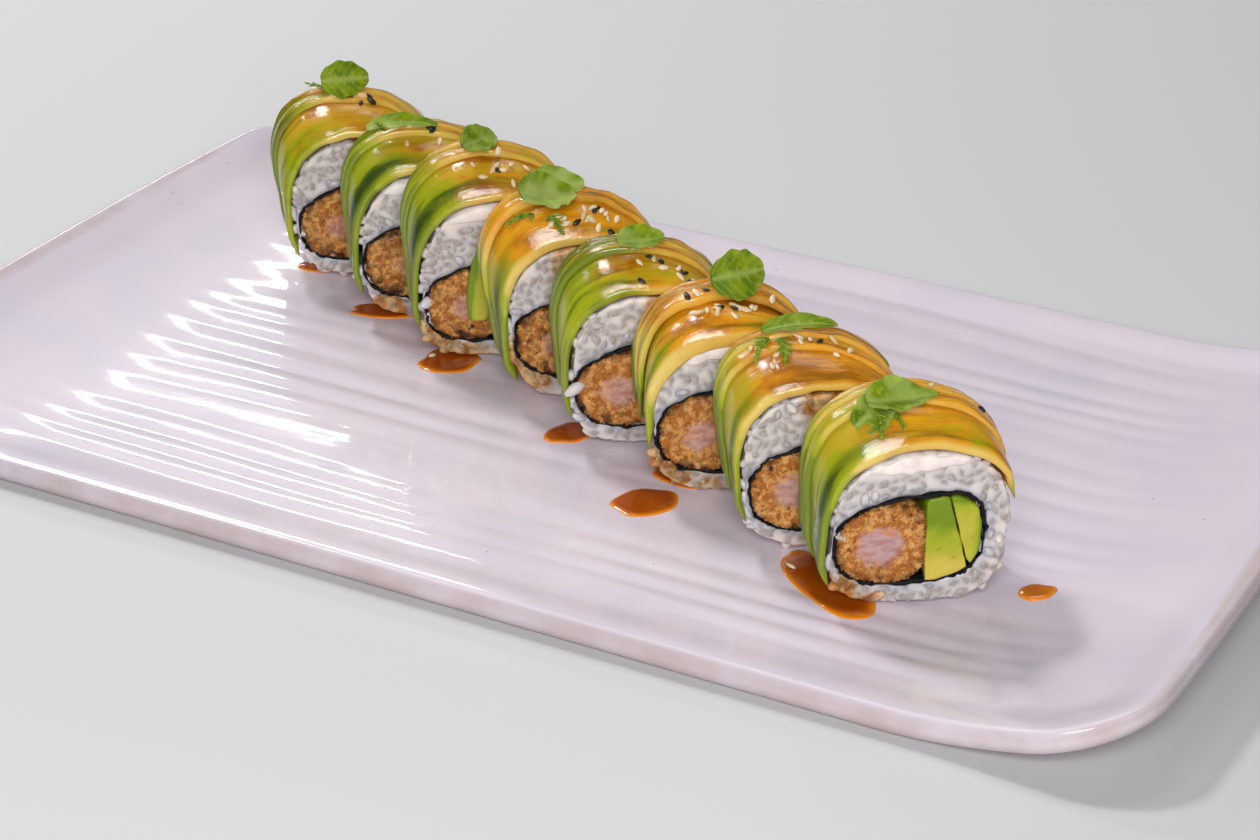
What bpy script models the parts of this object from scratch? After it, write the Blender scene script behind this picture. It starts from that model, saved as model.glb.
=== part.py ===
"""Avocado-topped uramaki roll, cut in eight, on its long ridged plate.

Metres, +Z up. The origin is on the table under the middle of the plate, +X runs along the
plate's long axis and +Y across it, away from the side the cut faces are turned to.

Each piece of the roll hangs from an empty at the foot of its front face. In that frame X runs
across the face, Y runs back through the piece and Z is up, so a section is drawn in (x, z).
"""

import math
import random
from dataclasses import dataclass

import bmesh
import bpy
from mathutils import Vector

# Plate
PLATE_LENGTH = 0.3160  # at the corners, before the ends bow out
PLATE_WIDTH = 0.1960
PLATE_CORNER = 0.0210
END_BOW = 0.0034  # how far the middle of each short end stands out
RIM_HEIGHT = 0.0058
FLOOR_HEIGHT = 0.0042
RIM_SIDE_TOP = 0.0046  # height at which the upright side turns into the rounded lip
RIM_SIDE_FOOT = 0.0009
FOOT_INSET = 0.0015
LIP_CREST = 0.0014  # inset of the highest line of the rim
DISH_MIDWAY = 0.0055
DISH_INSET = 0.0140  # inset at which the floor is reached
ARCH_HEIGHT = 0.0097  # how far the short ends are lifted
ARCH_START = 0.1080
ARCH_POWER = 1.7
RIDGE_PITCH = 0.0122
RIDGE_DEPTH = 0.00035
RIDGE_COUNT = 14
END_LINES = (0.0165, 0.0110, 0.0062, 0.0030, 0.0010, 0.0)  # insets of the last grid lines

# Roll
GAP = 0.0003
FACE_YAW = math.radians(34.0)
ROW_YAW = math.radians(35.5)  # the pieces step forward and aside on this heading
FIRST_FACE = Vector((-0.0906, 0.0308, 0.0))
SECTION_HALF_WIDTH = 0.0191
SECTION_HEIGHT = 0.0358
SECTION_TOP_POWER = 2.4
SECTION_FOOT_POWER = 3.6
RING_POINTS = 24
EDGE_ROUND = 0.0008
RICE_UNEVEN = 0.0005

# Fillings, in the face frame and measured from the foot of the section
CORE_CENTRE = (-0.0020, 0.0152)
CORE_HALF_WIDTH = 0.0160
CORE_HALF_HEIGHT = 0.0104
CORE_POWER = 2.7
CORE_TOP_TILT = 0.17
NORI_THICKNESS = 0.0005
PRAWN_CENTRE = (-0.0076, 0.0146)
PRAWN_RADII = (0.0101, 0.0092)
PRAWN_POWER = 2.3
PRAWN_POINTS = 20
STICK_SPLIT_TOP = (0.0052, 0.0254)
STICK_SPLIT_FOOT = (0.0104, 0.0106)
PRAWN_SPLIT_TOP = (0.0004, 0.0226)
PRAWN_SPLIT_FOOT = (0.0020, 0.0054)
FILLING_PROUD = 0.0003

# Topping
TOPPING_SIDE = 0.0018
TOPPING_FRONT = 0.0030
TOPPING_CROWN = 0.0090
TOPPING_CROWN_POWER = 0.7  # below 1 the crown stays full nearer to both faces
TOPPING_EDGE = 0.0012
TOPPING_TAPER_LEFT = 0.10  # share of the way round over which each hanging end thins
TOPPING_TAPER_RIGHT = 0.12
TOPPING_POINTS = 14
TOPPING_STATIONS = (0.0, 0.12, 0.45, 0.8, 1.0)
CREAM_THICKNESS = 0.0022
CREAM_FROM = math.radians(58.0)
CREAM_TO = math.radians(128.0)
CREAM_FADE = math.radians(7.0)  # the hollow for the cream runs out this far past its ends
CREAM_POINTS = 8

# Leaves: name, piece, place in the face frame, radii, tilt in degrees, cupping
LEAVES = (
    ("leaf_1", 1, (-0.0043, 0.0084, 0.0506), (0.0062, 0.0048), (66, 0, 8), 0.0),
    ("leaf_4", 4, (-0.0095, 0.0027, 0.0508), (0.0080, 0.0058), (30, 10, 30), 0.0008),
    ("leaf_6", 6, (-0.0002, 0.0061, 0.0513), (0.0070, 0.0066), (66, 0, 20), 0.0006),
    ("leaf_8", 8, (-0.0067, 0.0059, 0.0459), (0.0084, 0.0040), (20, 0, 20), 0.0006),
)

SLICE_FOOT = (-0.0040, 0.0110)
SLICE_LENGTH = 0.0300
SLICE_LEAN = 0.0080
SLICE_HALF_WIDTH = 0.0036
SLICE_THICKNESS = 0.0018
SLICE_STEPS = 6

LEAF_THICKNESS = 0.0006
LEAF_POINTS = 14
SEED = 20

RICE = ("rice", (0.80, 0.78, 0.80), 0.45)
NORI = ("nori", (0.012, 0.014, 0.018), 0.55)
PRAWN = ("crumbed_prawn", (0.56, 0.27, 0.08), 0.70)
AVOCADO = ("avocado", (0.47, 0.52, 0.07), 0.35)
GLAZED_AVOCADO = ("glazed_avocado", (0.44, 0.40, 0.04), 0.15)
CREAM = ("cream_cheese", (0.86, 0.82, 0.76), 0.40)
LEAF = ("leaf", (0.16, 0.36, 0.05), 0.45)
PLATE = ("glazed_plate", (0.78, 0.74, 0.78), 0.12)


@dataclass(frozen=True)
class Cut:
    """One piece of the roll: where it stands after the piece behind it, and its own sizes."""

    forward: float  # from the face of the piece behind to this face, along the roll's axis
    aside: float  # sideways shift from the piece behind
    thickness: float
    turn: float = 0.0  # degrees, added to FACE_YAW
    width: float = 1.0
    height: float = 1.0
    core_turn: float = 0.0  # degrees that the fillings are turned in the section
    topping_left: float = 208.0  # degrees round the section where the avocado ends
    topping_right: float = 20.0
    crown: float = 1.0
    cream: bool = False
    lift: float = 0.0  # above the floor, where the plate begins to rise
    lean: float = 0.0  # how far the section leans to the right over its height


CUTS = (
    Cut(0.0000, 0.0000, 0.0250, 1.5, 1.00, 1.04, 6.0, 206.0, 24.0, 1.15, lift=0.0006, lean=-0.0012),
    Cut(0.0256, 0.0154, 0.0246, 0.5, 0.98, 1.07, -4.0, 204.0, 20.0, 1.12, True),
    Cut(0.0248, 0.0140, 0.0239, 0.0, 1.00, 1.14, 5.0, 202.0, 18.0, 1.30, True, lean=0.0016),
    Cut(0.0242, 0.0170, 0.0204, 0.0, 1.00, 1.10, -6.0, 214.0, 16.0, 1.32, lean=-0.0018),
    Cut(0.0256, 0.0120, 0.0246, -0.5, 0.99, 1.05, 3.0, 200.0, 22.0, 1.10),
    Cut(0.0246, 0.0152, 0.0236, 0.5, 1.00, 1.05, -3.0, 190.0, 20.0, 1.00, True),
    Cut(0.0280, 0.0138, 0.0262, 0.0, 1.00, 1.05, 4.0, 204.0, 22.0, 1.00, lean=-0.0028),
    Cut(0.0256, 0.0166, 0.0246, 0.0, 1.00, 1.00, 0.0, 210.0, 17.0, 1.20, True, lean=0.0024),
)


def clear_scene():
    for obj in list(bpy.data.objects):
        bpy.data.objects.remove(obj, do_unlink=True)


def material(name, colour, roughness):
    made = bpy.data.materials.get(name)
    if made is None:
        made = bpy.data.materials.new(name)
        made.use_nodes = True
        shader = made.node_tree.nodes["Principled BSDF"]
        shader.inputs["Base Color"].default_value = (*colour, 1.0)
        shader.inputs["Roughness"].default_value = roughness
        shader.inputs["Metallic"].default_value = 0.0
        made.diffuse_color = (*colour, 1.0)
    return made


def finish_object(name, work, look, parent=None, smooth_angle=40.0):
    """Turn a filled bmesh into a named object with its material, faces outward."""
    bmesh.ops.recalc_face_normals(work, faces=work.faces)
    mesh = bpy.data.meshes.new(name)
    work.to_mesh(mesh)
    work.free()
    mesh.shade_smooth()
    mesh.set_sharp_from_angle(angle=math.radians(smooth_angle))
    mesh.materials.append(material(*look))
    obj = bpy.data.objects.new(name, mesh)
    obj.parent = parent
    bpy.context.scene.collection.objects.link(obj)
    return obj


def bridge(work, ring, other):
    """Quads between two closed rings of the same length."""
    count = len(ring)
    for i in range(count):
        j = (i + 1) % count
        work.faces.new((ring[i], ring[j], other[j], other[i]))


def section_ring(work, outline, depth):
    return [work.verts.new((x, depth, z)) for x, z in outline]


def extruded(name, outline, front, back, look, parent, ends=0.0):
    """A solid of one outline; with ends, its two faces are drawn in by that much."""
    work = bmesh.new()
    if ends:
        drawn_in = inset(outline, ends)
        rings = [
            section_ring(work, drawn_in, front),
            section_ring(work, outline, front + ends),
            section_ring(work, outline, back - ends),
            section_ring(work, drawn_in, back),
        ]
    else:
        rings = [section_ring(work, outline, front), section_ring(work, outline, back)]
    for ring, following in zip(rings, rings[1:]):
        bridge(work, ring, following)
    work.faces.new(rings[0])
    work.faces.new(rings[-1])
    return finish_object(name, work, look, parent)


def hollow(name, outer_rings, inner, look, parent):
    """A tube through the piece: outer_rings is a list of (outline, depth), front to back."""
    work = bmesh.new()
    rings = [section_ring(work, outline, depth) for outline, depth in outer_rings]
    hole_front = section_ring(work, inner, outer_rings[0][1])
    hole_back = section_ring(work, inner, outer_rings[-1][1])
    for ring, following in zip(rings, rings[1:]):
        bridge(work, ring, following)
    bridge(work, rings[0], hole_front)
    bridge(work, rings[-1], hole_back)
    bridge(work, hole_front, hole_back)
    return finish_object(name, work, look, parent)


def superellipse(angle, half_width, half_height, power):
    """Point of a rounded rectangle at this angle of its parameter."""
    across = math.copysign(abs(math.cos(angle)) ** (2.0 / power), math.cos(angle))
    up = math.copysign(abs(math.sin(angle)) ** (2.0 / power), math.sin(angle))
    return half_width * across, half_height * up


def section_point(angle, cut, grow=0.0):
    """Point of the rice's outline; grow moves it outward, for what lies on the rice."""
    half_height = SECTION_HEIGHT * cut.height / 2.0
    power = SECTION_TOP_POWER if math.sin(angle) > 0.0 else SECTION_FOOT_POWER
    x, z = superellipse(
        angle, SECTION_HALF_WIDTH * cut.width + grow, half_height + grow, power
    )
    return x, z + half_height


def cream_depth(angle, cut):
    """How deep the cream is pressed into the top of the rice at this angle."""
    if not cut.cream:
        return 0.0
    middle = (CREAM_FROM + CREAM_TO) / 2.0
    share = (angle - middle) / ((CREAM_TO - CREAM_FROM) / 2.0 + CREAM_FADE)
    return (CREAM_THICKNESS + GAP) * max(0.0, 1.0 - share * share)


def turned(point, centre, angle):
    x = point[0] - centre[0]
    z = point[1] - centre[1]
    cosine = math.cos(angle)
    sine = math.sin(angle)
    return centre[0] + x * cosine - z * sine, centre[1] + x * sine + z * cosine


def core_outline(cut, shrink=0.0, count=RING_POINTS):
    """Outline of the wrapped fillings, higher at the right, drawn in by shrink."""
    outline = []
    for k in range(count):
        angle = 2.0 * math.pi * k / count
        x, z = superellipse(
            angle, CORE_HALF_WIDTH - shrink, CORE_HALF_HEIGHT - shrink, CORE_POWER
        )
        if z > 0.0:
            z += CORE_TOP_TILT * x * z / CORE_HALF_HEIGHT
        point = (CORE_CENTRE[0] + x, CORE_CENTRE[1] + z)
        outline.append(turned(point, CORE_CENTRE, math.radians(cut.core_turn)))
    return outline


def keep_left(outline, start, end, gap):
    """The part of a convex outline on the left of the line start to end, less a gap."""
    along = (Vector(end) - Vector(start)).normalized()
    normal = Vector((-along.y, along.x))
    heights = [(Vector(point) - Vector(start)).dot(normal) - gap for point in outline]
    kept = []
    for i, point in enumerate(outline):
        j = (i + 1) % len(outline)
        if heights[i] >= 0.0:
            kept.append(point)
        if (heights[i] >= 0.0) != (heights[j] >= 0.0):
            share = heights[i] / (heights[i] - heights[j])
            kept.append(tuple(Vector(point).lerp(Vector(outline[j]), share)))
    return without_doubles(kept)


def without_doubles(outline, nearest=0.00005):
    kept = []
    for point in outline:
        if not kept or (Vector(point) - Vector(kept[-1])).length > nearest:
            kept.append(point)
    if (Vector(kept[0]) - Vector(kept[-1])).length <= nearest:
        kept.pop()
    return kept


def inside_of(outline, boundary, gap):
    """A convex outline cut back to lie inside a convex anticlockwise boundary."""
    for start, end in zip(boundary, boundary[1:] + boundary[:1]):
        outline = keep_left(outline, start, end, gap)
    return outline


def inset(outline, amount):
    """A convex outline drawn in towards its middle by about this amount."""
    middle = sum((Vector(point) for point in outline), Vector((0.0, 0.0))) / len(outline)
    drawn = []
    for point in outline:
        spoke = Vector(point) - middle
        drawn.append(tuple(middle + spoke * max(0.0, 1.0 - amount / spoke.length)))
    return drawn


def add_rice(name, cut, parent, uneven):
    """Rice packed round the wrapped fillings, with an uneven outside."""
    outline = []
    for k in range(RING_POINTS):
        angle = 2.0 * math.pi * k / RING_POINTS
        hollowed = cream_depth(angle, cut) + uneven.uniform(0.0, RICE_UNEVEN)
        x, z = section_point(angle, cut, -hollowed)
        outline.append((x, max(0.0, z)))
    drawn_in = inset(outline, EDGE_ROUND)
    rings = [
        (drawn_in, 0.0),
        (outline, EDGE_ROUND),
        (outline, cut.thickness - EDGE_ROUND),
        (drawn_in, cut.thickness),
    ]
    hollow(name, rings, core_outline(cut, -GAP), RICE, parent)


def add_nori(name, cut, parent):
    outer = core_outline(cut)
    rings = [(outer, GAP), (outer, cut.thickness - GAP)]
    hollow(name, rings, core_outline(cut, NORI_THICKNESS), NORI, parent)


def add_fillings(label, cut, parent):
    """Crumbed prawn on the left and two sticks of avocado on the right of the wrapping."""
    inner = core_outline(cut, NORI_THICKNESS)
    turn = math.radians(cut.core_turn)
    prawn_top = turned(PRAWN_SPLIT_TOP, CORE_CENTRE, turn)
    prawn_foot = turned(PRAWN_SPLIT_FOOT, CORE_CENTRE, turn)
    stick_top = turned(STICK_SPLIT_TOP, CORE_CENTRE, turn)
    stick_foot = turned(STICK_SPLIT_FOOT, CORE_CENTRE, turn)
    front = -FILLING_PROUD
    back = cut.thickness - GAP

    prawn = []
    for k in range(PRAWN_POINTS):
        x, z = superellipse(2.0 * math.pi * k / PRAWN_POINTS, *PRAWN_RADII, PRAWN_POWER)
        point = (PRAWN_CENTRE[0] + x, PRAWN_CENTRE[1] + z)
        prawn.append(turned(point, CORE_CENTRE, turn))
    prawn = inside_of(prawn, inner, GAP)
    prawn = keep_left(prawn, prawn_foot, prawn_top, GAP / 2.0)
    extruded("prawn_" + label, prawn, front, back, PRAWN, parent, EDGE_ROUND)

    room = inside_of(inner, inner, GAP)
    right = keep_left(room, prawn_top, prawn_foot, GAP / 2.0)
    stick_a = keep_left(right, stick_foot, stick_top, GAP / 2.0)
    stick_b = keep_left(right, stick_top, stick_foot, GAP / 2.0)
    extruded("avocado_stick_a_" + label, stick_a, front, back, AVOCADO, parent)
    extruded("avocado_stick_b_" + label, stick_b, 0.0, back, AVOCADO, parent)


def add_cream(name, cut, parent):
    """Cream pressed into the top of the rice, flush with the rice's own outline."""
    outer = []
    inner = []
    for k in range(CREAM_POINTS):
        angle = CREAM_FROM + (CREAM_TO - CREAM_FROM) * k / (CREAM_POINTS - 1)
        outer.append(section_point(angle, cut))
        inner.append(section_point(angle, cut, GAP - cream_depth(angle, cut)))
    outline = without_doubles(outer + inner[::-1])
    extruded(name, outline, GAP, cut.thickness - GAP, CREAM, parent)


def topping_thickness(share_round, share_back, cut):
    """Thickness of the fan of slices: crowned over the middle, thin at both hanging ends."""
    ridge = math.sin(math.pi * min(1.0, share_back)) ** TOPPING_CROWN_POWER
    top = TOPPING_FRONT + (TOPPING_CROWN * cut.crown - TOPPING_FRONT) * ridge
    over_top = math.sin(math.pi * share_round) ** 2
    full = TOPPING_SIDE + (top - TOPPING_SIDE) * over_top
    left = share_round / TOPPING_TAPER_LEFT
    right = (1.0 - share_round) / TOPPING_TAPER_RIGHT
    taper = min(1.0, left, right)
    return TOPPING_EDGE + (full - TOPPING_EDGE) * taper


def add_topping(name, cut, parent):
    """Fan of avocado slices laid over the piece and down its left side."""
    work = bmesh.new()
    start = math.radians(cut.topping_left)
    sweep = math.radians(cut.topping_right) - start
    rings = []
    for share_back in TOPPING_STATIONS:
        outer = []
        inner = []
        for k in range(TOPPING_POINTS):
            share_round = k / (TOPPING_POINTS - 1)
            angle = start + sweep * share_round
            rise = GAP + topping_thickness(share_round, share_back, cut)
            outer.append(section_point(angle, cut, rise))
            inner.append(section_point(angle, cut, GAP))
        rings.append(
            section_ring(work, outer + inner[::-1], cut.thickness * share_back)
        )
    for ring, following in zip(rings, rings[1:]):
        bridge(work, ring, following)
    half = TOPPING_POINTS
    for ring in (rings[0], rings[-1]):
        for k in range(half - 1):
            work.faces.new(
                (ring[k], ring[k + 1], ring[2 * half - 2 - k], ring[2 * half - 1 - k])
            )
    finish_object(name, work, GLAZED_AVOCADO, parent, 55.0)


def add_leaf(name, parent, place, size, tilt, cup):
    """A small cupped leaf; size is (long radius, short radius), tilt is in degrees."""
    work = bmesh.new()
    sheets = []
    for side in (0.5, -0.5):
        rise = side * LEAF_THICKNESS
        rim = []
        for k in range(LEAF_POINTS):
            angle = 2.0 * math.pi * k / LEAF_POINTS
            x = size[0] * math.cos(angle)
            y = size[1] * math.sin(angle)
            rim.append(work.verts.new((x, y, rise + cup * math.cos(2.0 * angle))))
        heart = work.verts.new((0.0, 0.0, rise - cup * 0.5))
        sheets.append((rim, heart))
    bridge(work, sheets[0][0], sheets[1][0])
    for rim, heart in sheets:
        for k in range(LEAF_POINTS):
            work.faces.new((rim[k], rim[(k + 1) % LEAF_POINTS], heart))
    leaf = finish_object(name, work, LEAF, parent)
    leaf.location = place
    leaf.rotation_euler = [math.radians(value) for value in tilt]


def add_slipped_slice(parent):
    """A slice of avocado that has slid off the next topping, on edge against the cut face."""
    right = []
    left = []
    for k in range(SLICE_STEPS + 1):
        share = k / SLICE_STEPS
        middle = SLICE_FOOT[0] + SLICE_LEAN * share**2
        half = SLICE_HALF_WIDTH * math.sin(math.pi * (0.14 + 0.72 * share)) ** 0.6
        z = SLICE_FOOT[1] + SLICE_LENGTH * share
        right.append((middle + half, z))
        left.append((middle - half, z))
    front = -GAP * 2.0 - SLICE_THICKNESS
    extruded("slipped_slice", right + left[::-1], front, -GAP * 2.0, AVOCADO, parent)


def plate_arch(x):
    """Height by which the plate is lifted at this distance along it."""
    share = (abs(x) - ARCH_START) / (PLATE_LENGTH / 2.0 - ARCH_START)
    return ARCH_HEIGHT * max(0.0, share) ** ARCH_POWER


def plate_half_width(x):
    """Half the plate's width at this distance along it, round the corners."""
    past = abs(x) - (PLATE_LENGTH / 2.0 - PLATE_CORNER)
    if past <= 0.0:
        return PLATE_WIDTH / 2.0
    room = max(0.0, PLATE_CORNER**2 - past**2)
    return PLATE_WIDTH / 2.0 - PLATE_CORNER + math.sqrt(room)


def plate_inset(x, y):
    """Distance from a point of the plate to its outline."""
    past_x = abs(x) - (PLATE_LENGTH / 2.0 - PLATE_CORNER)
    past_y = abs(y) - (PLATE_WIDTH / 2.0 - PLATE_CORNER)
    outside = math.hypot(max(past_x, 0.0), max(past_y, 0.0))
    return PLATE_CORNER - outside - min(max(past_x, past_y), 0.0)


def plate_top(x, y):
    """Height of the plate's upper face: rounded lip, dished border and ridged floor."""
    depth_in = plate_inset(x, y)
    if depth_in < LIP_CREST:
        share = 1.0 - depth_in / LIP_CREST
        height = RIM_SIDE_TOP + (RIM_HEIGHT - RIM_SIDE_TOP) * math.sqrt(
            max(0.0, 1.0 - share * share)
        )
    else:
        share = min(1.0, (depth_in - LIP_CREST) / (DISH_INSET - LIP_CREST))
        ease = share * share * (3.0 - 2.0 * share)
        height = RIM_HEIGHT + (FLOOR_HEIGHT - RIM_HEIGHT) * ease
    straight = PLATE_LENGTH / 2.0 - PLATE_CORNER
    fade = min(1.0, max(0.0, (straight - abs(x)) / (straight - ARCH_START)))
    groove = 0.5 - 0.5 * math.cos(2.0 * math.pi * y / RIDGE_PITCH)
    if depth_in >= DISH_INSET * 0.99:
        height -= RIDGE_DEPTH * groove * fade
    return height + plate_arch(x)


def plate_columns():
    """Places along the plate of its grid lines, closer at the lifted ends."""
    half = PLATE_LENGTH / 2.0
    straight = half - PLATE_CORNER
    ends = [half - inset_by for inset_by in END_LINES]
    rising = [ARCH_START + (straight - ARCH_START) * k / 2.0 for k in range(3)]
    right = [ARCH_START / 2.0] + rising + ends
    return [-x for x in reversed(right)] + [0.0] + right


def plate_rows(x):
    """Places across the plate of its grid lines: the lip, then one per ridge and groove."""
    half = plate_half_width(x)
    border = [half - drawn for drawn in (0.0, LIP_CREST, DISH_MIDWAY, DISH_INSET)]
    floor_half = RIDGE_COUNT * RIDGE_PITCH / 2.0
    scale = (half - DISH_INSET) / floor_half
    step = RIDGE_PITCH / 2.0
    floor = [scale * (k * step - floor_half) for k in range(1, 2 * RIDGE_COUNT)]
    return [-y for y in border] + floor + border[::-1]


def bowed(x, y):
    """The short ends stand out in the middle."""
    share = 1.0 - (2.0 * y / PLATE_WIDTH) ** 2
    return x + END_BOW * share * (2.0 * x / PLATE_LENGTH) ** 3


def add_plate():
    """One closed shell: upper face as a grid, then the rim's side and a plain underside."""
    work = bmesh.new()
    columns = plate_columns()
    grid = []
    for x in columns:
        rows = plate_rows(x)
        grid.append([work.verts.new((bowed(x, y), y, plate_top(x, y))) for y in rows])
    last_column = len(columns) - 1
    last_row = len(grid[0]) - 1
    for i in range(last_column):
        for j in range(last_row):
            work.faces.new(
                (grid[i][j], grid[i + 1][j], grid[i + 1][j + 1], grid[i][j + 1])
            )

    outline = [(i, 0) for i in range(last_column + 1)]
    outline += [(last_column, j) for j in range(1, last_row + 1)]
    outline += [(i, last_row) for i in range(last_column - 1, -1, -1)]
    outline += [(0, j) for j in range(last_row - 1, 0, -1)]
    top_ring = [grid[i][j] for i, j in outline]
    side_ring = []
    foot_ring = []
    feet = {}
    shrink_x = 1.0 - 2.0 * FOOT_INSET / PLATE_LENGTH
    shrink_y = 1.0 - 2.0 * FOOT_INSET / PLATE_WIDTH
    for i, j in outline:
        above = grid[i][j].co
        lift = plate_arch(columns[i])
        side_ring.append(work.verts.new((above.x, above.y, lift + RIM_SIDE_FOOT)))
        foot = work.verts.new((above.x * shrink_x, above.y * shrink_y, lift))
        foot_ring.append(foot)
        feet[i, j] = foot
    bridge(work, top_ring, side_ring)
    bridge(work, side_ring, foot_ring)
    for i in range(1, last_column - 1):
        work.faces.new(
            (feet[i, 0], feet[i + 1, 0], feet[i + 1, last_row], feet[i, last_row])
        )
    for near, end in ((1, 0), (last_column - 1, last_column)):
        fan = [feet[end, j] for j in range(last_row + 1)]
        work.faces.new([feet[near, 0], *fan, feet[near, last_row]])
    finish_object("plate", work, PLATE, None, 30.0)


def lean_over(stand, cut):
    """Lean the piece's parts to the right, by nothing at the top of its rice."""
    height = SECTION_HEIGHT * cut.height
    for part in stand.children:
        for vertex in part.data.vertices:
            vertex.co.x -= cut.lean * (1.0 - vertex.co.z / height)


def add_piece(number, cut, face, uneven):
    """The empty that carries one piece, and the piece's own nodes."""
    label = str(number)
    stand = bpy.data.objects.new("piece_" + label, None)
    stand.location = face + Vector((0.0, 0.0, cut.lift))
    stand.rotation_euler = (0.0, 0.0, FACE_YAW + math.radians(cut.turn))
    bpy.context.scene.collection.objects.link(stand)
    add_rice("rice_" + label, cut, stand, uneven)
    add_nori("nori_" + label, cut, stand)
    add_fillings(label, cut, stand)
    add_topping("avocado_fan_" + label, cut, stand)
    if cut.cream:
        add_cream("cream_" + label, cut, stand)
    lean_over(stand, cut)
    return stand


def add_roll():
    """The eight pieces in their row, each shifted sideways from the one behind it."""
    uneven = random.Random(SEED)
    across = Vector((math.cos(ROW_YAW), math.sin(ROW_YAW), 0.0))
    forward = Vector((math.sin(ROW_YAW), -math.cos(ROW_YAW), 0.0))
    face = FIRST_FACE + Vector((0.0, 0.0, FLOOR_HEIGHT + GAP))
    stands = []
    for number, cut in enumerate(CUTS, 1):
        face = face + forward * cut.forward + across * cut.aside
        stands.append(add_piece(number, cut, face, uneven))
    return stands


def add_garnish(stands):
    """The four broad leaves that stand on the topping, and the slice that has slipped."""
    for name, number, *form in LEAVES:
        add_leaf(name, stands[number - 1], *form)
    add_slipped_slice(stands[2])


clear_scene()
add_plate()
add_garnish(add_roll())
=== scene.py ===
"""Looks of the avocado-topped uramaki roll and of the ridged plate that it is served on.

Metres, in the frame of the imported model: the origin is on the table under the middle of the
plate, +X runs along the plate and +Z is up. Each piece of the roll also has a frame of its own
at the foot of its front cut face: x across the face, y back through the piece, z up.
"""

import logging
import math
from dataclasses import dataclass, field, replace
from enum import Enum
from typing import Sequence

import bmesh
import bpy
import numpy as np
from mathutils import Euler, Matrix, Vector, noise
from mathutils.bvhtree import BVHTree


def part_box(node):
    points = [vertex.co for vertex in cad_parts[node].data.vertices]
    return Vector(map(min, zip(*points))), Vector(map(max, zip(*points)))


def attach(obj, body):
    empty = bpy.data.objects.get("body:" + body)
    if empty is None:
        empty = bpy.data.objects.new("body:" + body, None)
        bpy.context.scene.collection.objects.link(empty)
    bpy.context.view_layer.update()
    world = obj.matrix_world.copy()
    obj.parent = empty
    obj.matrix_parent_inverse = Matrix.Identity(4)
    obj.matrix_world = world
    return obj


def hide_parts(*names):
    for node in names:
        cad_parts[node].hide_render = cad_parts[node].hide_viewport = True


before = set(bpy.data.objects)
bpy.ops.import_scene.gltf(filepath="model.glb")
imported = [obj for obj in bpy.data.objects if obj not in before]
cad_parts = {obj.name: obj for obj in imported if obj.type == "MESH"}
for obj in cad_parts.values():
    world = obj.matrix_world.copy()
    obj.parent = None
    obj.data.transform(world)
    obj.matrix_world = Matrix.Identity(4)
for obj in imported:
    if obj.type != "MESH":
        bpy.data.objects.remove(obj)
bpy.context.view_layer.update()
LOG = logging.getLogger("uramaki")

BODY = "root"
TURN = 2.0 * math.pi
UP = np.array([0.0, 0.0, 1.0])
Colour = tuple[float, float, float]
Array = np.ndarray
Socket = bpy.types.NodeSocket
Object = bpy.types.Object
Draw = np.random.Generator
Layer = tuple[Socket, float]
Copy = tuple[Array, Array, float, Array]
MADE_FINISHES: dict[str, bpy.types.Material] = {}


# ---------------------------------------------------------------- shapes


def link(name: str, data: bpy.types.ID) -> Object:
    """A new object in the scene.

    Args:
        name: its name.
        data: its mesh, light or camera.

    Returns:
        The object.
    """
    made = bpy.data.objects.new(name, data)
    bpy.context.scene.collection.objects.link(made)
    return made


def circle(count: int) -> Array:
    """Angles of this many points round a circle."""
    return np.linspace(0.0, TURN, count, endpoint=False)


def spokes(angle: Array) -> Array:
    """Unit directions at these angles: two coordinates in the last axis."""
    return np.stack([np.cos(angle), np.sin(angle)], axis=-1)


def ease(low: float, high: float, value: Array) -> Array:
    """Smooth step from 0 at low to 1 at high.

    Args:
        low: value that gives 0.
        high: value that gives 1; it may be below low.
        value: what is stepped.

    Returns:
        The eased share, the same shape as value.
    """
    share = np.clip((np.asarray(value, float) - low) / (high - low), 0.0, 1.0)
    return share * share * (3.0 - 2.0 * share)


def ripple(points: Array, size: float, seed: int, waves: int = 9) -> Array:
    """Smooth unevenness, mostly from -1 to 1, made of sine waves in random directions.

    Args:
        points: places, one row each.
        size: usual length of a wave in metres.
        seed: fixes the directions.
        waves: how many waves are added up.

    Returns:
        One value for each point.
    """
    draw = np.random.default_rng(seed)
    way = draw.normal(size=(waves, 3))
    way /= np.linalg.norm(way, axis=1, keepdims=True)
    length = size * draw.uniform(0.6, 1.8, waves)
    turns = points @ (way / length[:, None]).T * TURN + draw.uniform(0.0, TURN, waves)
    return np.sin(turns).sum(axis=1) / math.sqrt(waves)


def pebbles(points: Array, size: float) -> Array:
    """Rounded lumps of about the given size: 1 on top of a lump, 0 between lumps."""
    return np.array([1.0 - noise.voronoi(Vector(point / size))[0][0] for point in points])


def box_shares(points: Array) -> Array:
    """Where each point is in the box round them all, from 0 to 1 along each axis."""
    low = points.min(axis=0)
    return (points - low) / (points.max(axis=0) - low)


def superellipse(
    angle: Array, half_width: Array, half_height: Array, power: Array
) -> tuple[Array, Array]:
    """Points of a rounded rectangle.

    Args:
        angle: parameter round the outline.
        half_width: half of its width.
        half_height: half of its height.
        power: 2 is an ellipse, more is squarer.

    Returns:
        The two coordinates of each point.
    """
    cosine = np.cos(angle)
    sine = np.sin(angle)
    across = np.sign(cosine) * np.abs(cosine) ** (2.0 / power)
    up = np.sign(sine) * np.abs(sine) ** (2.0 / power)
    return half_width * across, half_height * up


class Ends(Enum):
    """How a loft's first and last rings are closed."""

    FAN = "each by a fan of triangles"
    LOOP = "to each other"


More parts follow.
